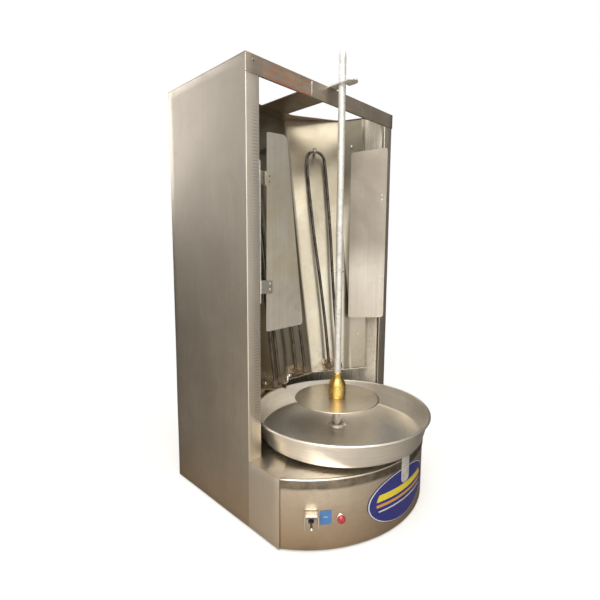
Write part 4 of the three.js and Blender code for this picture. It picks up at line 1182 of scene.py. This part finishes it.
# ---------------------------------------------------------------- spit, disc, drive and pan
def spit_rod():
    radius = (rod_hi.x - rod_lo.x) / 2
    stub = 0.005
    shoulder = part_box("spit_ferrule")[0].z
    profile = [(0, rod_lo.z), (stub - 0.0006, rod_lo.z), (stub, rod_lo.z + 0.0006), (stub, shoulder)]
    profile += [(radius, z) for z in spaced(shoulder, rod_hi.z - 0.014, 0.009)]
    tip = ((0.0006, 0.0115), (0.0016, 0.008), (0.0034, 0.003), (0.0048, 0.0006))
    profile += [(radius - inward, rod_hi.z - down) for inward, down in tip]
    rod = lathe("spit_rod_turned", [*profile, (0, rod_hi.z)], SPIT, segments=32, uneven=0.00022, degrees=50)
    pin_lo, pin_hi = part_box("spit_cross_pin")
    pin_z = (pin_lo.z + pin_hi.z) / 2
    drills = [sweep(f"rod_hole_{k}", [SPIT + Vector((x, 0, pin_z - drop)) for x in (-0.02, 0.02)], 0.0017, 12)
              for k, drop in enumerate((0.052, 0.078, 0.106))]
    piece(cut("spit_rod_bar", rod, drills), "galvanised", "spit_rod", "spit")
    pin = [SPIT + Vector((x, 0, pin_z)) for x in (pin_lo.x + 0.0005, -0.008, 0.008, pin_hi.x - 0.0005)]
    piece(sweep("cross_pin_bar", pin, 0.0012, 12), "chrome", "spit_cross_pin", "spit")
    return radius


def spit_ferrule(rod_radius):
    lo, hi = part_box("spit_ferrule")
    wide = (hi.x - lo.x) / 2
    bore = rod_radius + GAP
    neck = bore + 0.0022
    profile = [(bore, lo.z), (wide - 0.0019, lo.z), (wide - 0.0008, lo.z + 0.003), (wide, lo.z + 0.009)]
    profile += [(wide - 0.00035 * (k % 2), lo.z + 0.009 + 0.0012 * k) for k in range(1, 17)]
    shoulder = ((wide - 0.0008, 0.032), (wide - 0.0026, 0.037), (wide - 0.0052, 0.0415),
                (neck + 0.0024, 0.0448), (neck + 0.0009, 0.048), (neck, 0.052))
    profile += [(radius, lo.z + up) for radius, up in shoulder]
    profile += [(neck, hi.z - 0.001), (neck - 0.0009, hi.z), (bore, hi.z), (bore, lo.z)]
    turned = lathe("spit_ferrule_turned", profile, SPIT, segments=56, degrees=28)
    piece(turned, "brass", "spit_ferrule", "spit")
    grub = Vector((math.cos(-2.0), math.sin(-2.0), 0))
    spot = on_plan(SPIT + grub * (wide - 0.0004), lo.z + 0.018)
    pan_screw("ferrule_set_screw", spot, grub, 0.003, body="spit", rise=0.2)


def meat_disc():
    lo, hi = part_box("meat_disc")
    wide = (hi.x - lo.x) / 2
    hub = 0.0053
    profile = [(hub, lo.z), (wide - 0.0016, lo.z), (wide - 0.0004, lo.z + 0.0005), (wide, lo.z + 0.001),
               (wide - 0.0004, hi.z - 0.0004), (wide - 0.0014, hi.z), (wide - 0.004, hi.z - 0.0002),
               (0.06, hi.z), (0.024, hi.z), (hub, hi.z), (hub, lo.z)]
    turned = lathe("meat_disc_turned", profile, SPIT, segments=120, degrees=30)
    piece(turned, "disc", "meat_disc", "spit")


SHAFT_RADIUS = (shaft_hi.x - shaft_lo.x) / 2


def drive_parts():
    socket, depth = 0.0055, 0.034
    top = shaft_hi.z
    groove = [(SHAFT_RADIUS, top - 0.030), (SHAFT_RADIUS - 0.0004, top - 0.0294),
              (SHAFT_RADIUS - 0.0004, top - 0.0286), (SHAFT_RADIUS, top - 0.028)]
    profile = [(0, shaft_lo.z), (SHAFT_RADIUS, shaft_lo.z), *groove, (SHAFT_RADIUS, top - 0.0012),
               (SHAFT_RADIUS - 0.0012, top), (socket, top), (socket, top - depth), (0, top - depth)]
    piece(lathe("drive_shaft_turned", profile, SPIT, segments=48), "shaft", "drive_shaft", "drive")
    for node, finish, edge in (
        ("shaft_bearing", "dull", 0.0005), ("gearmotor", "paint", 0.0012), ("motor_bracket", "dull", 0.0005),
        ("terminal_block", "ceramic", 0.0008), ("pan_support_ring", "dull", 0.0005),
    ):
        keep(node, finish, edge)


def pan():
    floor, top = pan_lo.z, pan_hi.z
    rim = (pan_hi.x - pan_lo.x) / 2
    thick, bead = 0.0014, 0.0030
    base_radius = rim - 0.017
    outside = rounded([(0, 0, floor), (base_radius, 0, floor), (rim - 0.0052, 0, top - 0.0056)],
                      [0, 0.007, 0], 6)
    inside = rounded([(rim - 0.0062, 0, top - 0.0040), (base_radius - thick, 0, floor + thick),
                      (0, 0, floor + thick)], [0, 0.0065, 0], 6)
    roll = [(rim - bead + bead * math.cos(a), top - bead + bead * math.sin(a))
            for a in map(math.radians, range(-110, 171, 20))]
    dish = [(p.x, p.z) for p in divided(outside, 0.03)] + roll + [(p.x, p.z) for p in divided(inside, 0.03)]
    body = lathe("pan_body", dish, PAN, segments=128, degrees=40)
    bore = SHAFT_RADIUS + 0.002
    drill = sweep("pan_bore", [on_plan(SPIT, floor - 0.02), on_plan(SPIT, floor + 0.02)], bore, 48)
    hub = 0.0195
    collar = lathe("pan_collar", [(radius, floor + up) for radius, up in (
        (bore, 0.0002), (hub + 0.004, thick - 0.0002), (hub + 0.0016, thick + 0.001), (hub, thick + 0.003),
        (hub - 0.0006, 0.0082), (hub - 0.0016, 0.009), (bore + 0.001, 0.009), (bore, 0.008), (bore, 0.0002),
    )], SPIT, segments=56)
    piece(cut("drip_pan_spun", body, [drill], [collar]), "pan", "drip_pan", "pan")


# ---------------------------------------------------------------- support arm
def arm():
    keep("support_arm", "galvanised", 0.0007)
    lo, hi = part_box("arm_pivot_bolt")
    axis = on_plan(middle("arm_pivot_bolt"))
    head = hi.z - 0.0044
    bolt = lathe("arm_pivot_shank", [
        (0, lo.z), (0.0026, lo.z), (0.003, lo.z + 0.0005), (0.003, head), (0.0066, head),
        (0.0066, head + 0.0006), (0.003, head + 0.0007), (0.0029, hi.z + 0.0012), (0.0024, hi.z + 0.0018),
        (0, hi.z + 0.0019),
    ], axis, segments=28)
    piece(bolt, "zinc", "arm_pivot_bolt")
    low, outer, height = head + 0.0007, 0.00625, 0.0036
    hexagon = lathe("arm_pivot_nut_blank", [
        (0, low), (outer * 0.94, low), (outer, low + height * 0.12), (outer, low + height * 0.86),
        (outer * 0.9, low + height), (0, low + height),
    ], axis, segments=6, degrees=20)
    soften(hexagon, 0.0003)
    piece(join("arm_pivot_nut", [hexagon]), "zinc")
    spot = on_plan(middle("arm_end_screw"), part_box("arm_end_screw")[1].z - 0.0031)
    pan_screw("arm_end_pan_screw", spot, UP, 0.005, "arm_end_screw", "arm", 0.62)


# ---------------------------------------------------------------- controls and trims
def controls():
    place = front_place("switch_nut")
    keep("switch_body", "plastic", 0.0003)
    nut = lathe("switch_nut_blank", [
        (0.0063, 0.0005), (0.0082, 0.0005), (0.0086, 0.0010), (0.0086, 0.0022), (0.0080, 0.0027),
        (0.0063, 0.0027), (0.0063, 0.0005),
    ], segments=6, degrees=20)
    washer = lathe("switch_washer", [
        (0.0062, 0.0003), (0.0098, 0.0003), (0.0099, 0.0004), (0.0098, 0.0006), (0.0062, 0.0006),
        (0.0062, 0.0003),
    ], segments=36)
    thread = [(0.0060 - 0.0003 * (k % 2), 0.0006 + 0.00042 * k) for k in range(11)]
    thread = [(0.0048, 0.0006), *thread, (0.0048, 0.0052), (0.0048, 0.0006)]
    bushing = lathe("switch_bushing", thread, segments=30)
    made = join("switch_nut_set", [nut, washer, bushing])
    made.data.transform(place)
    piece(made, "zinc", "switch_nut")

    rest_angle = 0.42
    lever = lathe("switch_lever_bat", [
        (0, 0), (0.0018, 0.0001), (0.0019, 0.004), (0.0022, 0.009), (0.0027, 0.0145), (0.0030, 0.0175),
        (0.0027, 0.0198), (0.0017, 0.0209), (0, 0.0214),
    ], segments=28)
    lever.data.transform(place @ Matrix.Translation((0, 0, 0.002)) @ Matrix.Rotation(rest_angle, 4, "X"))
    piece(lever, "chrome", "switch_lever", "toggle")

    hoop = rounded([(-0.012, -0.009), (-0.012, 0.017), (0.012, 0.017), (0.012, -0.009)], 0.003, 6)
    strip = sheet("switch_guard_strip", [standing(hoop, (0.0004, 0.006, 0.013, 0.020))], thickness=0.0018,
                  edge=0.0004)
    guard = join("switch_guard_hoop", [strip])
    guard.data.transform(place)
    piece(guard, "bright", "switch_guard")

    bezel = lathe("lamp_bezel_turned", [
        (0.0044, -0.013), (0.0058, -0.013), (0.0058, 0.0004), (0.0096, 0.0004), (0.0098, 0.0009),
        (0.0092, 0.0024), (0.0086, 0.0028), (0.0044, 0.0028), (0.0044, -0.013),
    ], segments=44)
    lens = lathe("lamp_lens_dome", [
        (0, 0.0030), (0.0083, 0.0030), (0.0084, 0.0046), (0.0080, 0.0062), (0.0070, 0.0078), (0.0054, 0.0091),
        (0.0034, 0.0099), (0.0015, 0.0103), (0, 0.0104),
    ], segments=44, degrees=50)
    for obj, finish, node in ((bezel, "chrome", "lamp_bezel"), (lens, "lens", "lamp_lens")):
        obj.data.transform(front_place("lamp_bezel"))
        piece(obj, finish, node)


DECAL_STEPS = 36


def curved_decal(name, node, half_wide, shape, finish, bulge=0.0):
    """Thin film on the curved front. shape(u, v) bends the square of +-1 to its outline."""
    lo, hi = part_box(node)
    half_tall, height, turn = (hi.z - lo.z) / 2, (lo.z + hi.z) / 2, front_turn(node)
    out, thick = 0.0005, 0.0006
    steps = [2 * k / DECAL_STEPS - 1 for k in range(DECAL_STEPS + 1)]
    unit = [[shape(x, y) for x in steps] for y in steps]

    def on_film(u, v):
        lift = out + thick + bulge * max(0.0, 1 - u * u - v * v)
        return around_front(FACE_RADIUS + lift, turn + u * half_wide / FACE_RADIUS, height + v * half_tall)

    vertices, faces = grid([[on_film(u, v) for u, v in row] for row in unit])
    mesh = bpy.data.meshes.new(name)
    mesh.from_pydata([tuple(v) for v in vertices], [], faces)
    layer = mesh.uv_layers.new(name="UVMap")
    spots = [spot for row in unit for spot in row]
    for loop in mesh.loops:
        layer.data[loop.index].uv = spots[loop.vertex_index]
    smooth(mesh, 60)
    obj = link(name, mesh)
    modifier(obj, "SOLIDIFY", thickness=thick, offset=-1)
    piece(obj, finish, node)


def oval(x, y):
    return x * math.sqrt(1 - y * y / 2), y * math.sqrt(1 - x * x / 2)


def soft_square(x, y):
    """Square whose corners are a little round."""
    return x * (1 - 0.05 * abs(y) ** 8), y * (1 - 0.05 * abs(x) ** 8)


def front_clip():
    """Strip folded over the front edge, round at its lower end."""
    lo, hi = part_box("front_clip")
    half_turn = math.asin(hi.x / FRONT_RADIUS)
    outer = FRONT_RADIUS + 0.0015
    section = [(FRONT_RADIUS - 0.0255, 0, hi.z), (outer, 0, hi.z), (outer, 0, lo.z)]
    path = divided(rounded(section, [0, 0.006, 0], 8), 0.004)
    round_end = 0.012
    left = 0.0
    rows = []
    for k in reversed(range(len(path))):
        fraction = min(1.0, left / round_end)
        reach = half_turn * (0.45 + 0.55 * math.sqrt(1 - (1 - fraction) ** 2))
        rows.append(front_arc(path[k].x, reach, path[k].z, 10))
        left += (path[k] - path[k - 1]).length
    strip = sheet("front_clip_strip", [rows], thickness=0.0012, edge=0.0003)
    piece(strip, "galvanised", "front_clip")


def trims():
    lo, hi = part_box("front_badge")
    half_wide = math.asin((hi.x - lo.x) / 2 / FACE_RADIUS) * FACE_RADIUS
    curved_decal("front_badge_film", "front_badge", half_wide, oval, "badge", 0.0005)
    curved_decal("label_film", "label_plate", 0.0113, soft_square, "film")
    front_clip()


def cord():
    keep("cord_gland", "plastic", 0.0006)
    radius = 0.004
    lo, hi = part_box("power_cord")
    gland = middle("cord_gland")
    lie = radius + 0.0002   # height of the cable's axis where it lies on the counter
    out = hi.y - radius
    x, z = gland.x, gland.z
    path = [(x, lo.y + 0.004, z), (x, REAR + 0.010, z), (x, REAR + 0.020, z - 0.001),
            (x, REAR + 0.033, z - 0.013), (x - 0.004, out - 0.003, 0.024), (x - 0.030, out - 0.004, 0.006),
            (x - 0.070, out - 0.005, lie), (x - 0.120, out - 0.010, lie), (lo.x + 0.0003, out - 0.009, lie)]
    piece(sweep("power_cord_cable", catmull(path), radius, 18), "rubber", "power_cord")

    start = middle("mains_plug")
    start.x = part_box("mains_plug")[1].x
    profile = [(0, 0), (0.0062, 0)]
    for k in range(5):
        wider, along = 0.0003 * k, 0.001 + 0.0036 * k
        profile += [(radius + wider, along + further) for radius, further in (
            (0.0066, 0), (0.0066, 0.0018), (0.0058, 0.0021), (0.0058, 0.0034))]
    profile += [(0.0088, 0.020), (0.0125, 0.0265), (0.0138, 0.034), (0.0138, 0.0425), (0.0128, 0.044),
                (0, 0.044)]
    piece(lathe("plug_body", profile, start, segments=40, axis=(-1, 0, 0)), "rubber", "mains_plug")
    for k, side in enumerate((-0.006, 0.006)):
        prong = [start + Vector((-0.0425, side, 0)), start + Vector((-0.061, side, 0))]
        piece(sweep(f"plug_prong_{k + 1}", prong, 0.0022, 16), "bright")


# ---------------------------------------------------------------- studio
BRIGHT_SIDE = (-0.80, -0.58, 0.12)  # towards the window side, left of and behind the camera


def counter():
    """Round floor: pale and fading to white for the camera; in reflections its colour is painted light,
    bright on the window side and dark opposite.
    """
    sides, reach = 96, 2.6
    floor = mesh_piece("floor", [(x, y, 0) for x, y in circle(reach, sides=sides)], [tuple(range(sides))])
    floor.location.z = min(0.0, cad_low.z)
    s = Shader("pale_floor")
    camera_ray = s.node("ShaderNodeLightPath").outputs["Is Camera Ray"]
    # painted light: the floor colour that reflections see is bright on the window side and dark opposite
    window_side = s.remap(s.vector("DOT_PRODUCT", BRIGHT_SIDE), -0.1, 0.9)
    lit = s.mix(window_side, (0.08, 0.07, 0.06), (0.86, 0.80, 0.72))
    s.tone = s.mix(camera_ray, lit, (0.93, 0.915, 0.89))
    s.finish(0.85, s.bump(s.noise(30, 3), 0.0005, 0.3))
    fade = s.remap(s.vector("LENGTH"), 0.35, 1.5, 0.45, 1.0)
    white = s.node("ShaderNodeEmission").outputs[0]
    shown = s.blend(s.times(fade, camera_ray), s.surface.outputs[0], white)
    s.put(s.tree.nodes["Material Output"].inputs["Surface"], shown)
    floor.data.materials.append(s.material)


class Sky(Shader):
    """The same short way for the world's nodes."""

    def __init__(self, name):
        world = bpy.data.worlds.new(name)
        bpy.context.scene.world = world
        world.use_nodes = True
        self.tree = world.node_tree
        self.tree.nodes.clear()
        self.position = self.node("ShaderNodeTexCoord").outputs["Generated"]


def sky():
    """White to the camera; to the part, bright and cool on the window side and dim and warm opposite."""
    s = Sky("soft_studio")
    bright = s.remap(s.vector("DOT_PRODUCT", BRIGHT_SIDE), -0.7, 1.0, 0.05, 1.15)
    tint = s.node("ShaderNodeValToRGB")
    tint.color_ramp.elements[0].color = (0.72, 0.67, 0.60, 1)
    tint.color_ramp.elements[1].color = (1.0, 0.985, 0.96, 1)
    lit = s.fill(s.node("ShaderNodeBackground"), s.fill(tint, bright), bright)
    seen = s.fill(s.node("ShaderNodeBackground"), (1.0, 1.0, 1.0))
    camera_ray = s.node("ShaderNodeLightPath").outputs["Is Camera Ray"]
    s.put(s.node("ShaderNodeOutputWorld").inputs[0], s.blend(camera_ray, lit, seen))


def lights():
    aim = (cad_low + cad_high) / 2
    for name, where, size, power, colour in (
        ("key", (-1.7, -1.4, 3.0), 2.4, 74, (1.0, 0.96, 0.90)),
        ("overhead", (0.1, -0.3, 2.9), 1.8, 44, (1.0, 0.98, 0.95)),
        ("back", (-0.5, 2.4, 1.7), 1.6, 18, (1.0, 0.98, 0.95)),
    ):
        lamp = bpy.data.lights.new(name, "AREA")
        lamp.size = size
        lamp.energy = power
        lamp.color = colour
        holder = link(name, lamp)
        holder.location = where
        holder.rotation_euler = (aim - Vector(where)).to_track_quat("-Z", "Y").to_euler()


def camera():
    """The camera fitted to the photograph: left of the front and nearly level."""
    azimuth, elevation, roll = (math.radians(a) for a in (46.13964, 6.67238, 0.52922))
    data = bpy.data.cameras.new("camera")
    data.lens = 24.44
    data.sensor_width = 36
    data.shift_x = -0.0207
    data.shift_y = -0.0016
    data.clip_start = 0.02
    holder = link("camera", data)
    turn = Matrix.Rotation(-azimuth, 4, "Z") @ Matrix.Rotation(math.pi / 2 - elevation, 4, "X")
    place = Matrix.Translation((-0.7186, -0.6797, 0.5744))
    holder.matrix_world = place @ turn @ Matrix.Rotation(roll, 4, "Z")
    bpy.context.scene.camera = holder
    bpy.context.scene.view_settings.view_transform = "Standard"


side_panel("side_panel_left", -1)
side_panel("side_panel_right", 1)
top_plate()
rear_panel()
base()
chamber()
heaters()
shields()
spit_ferrule(spit_rod())
meat_disc()
drive_parts()
pan()
arm()
controls()
trims()
cord()
counter()
sky()
lights()
camera()
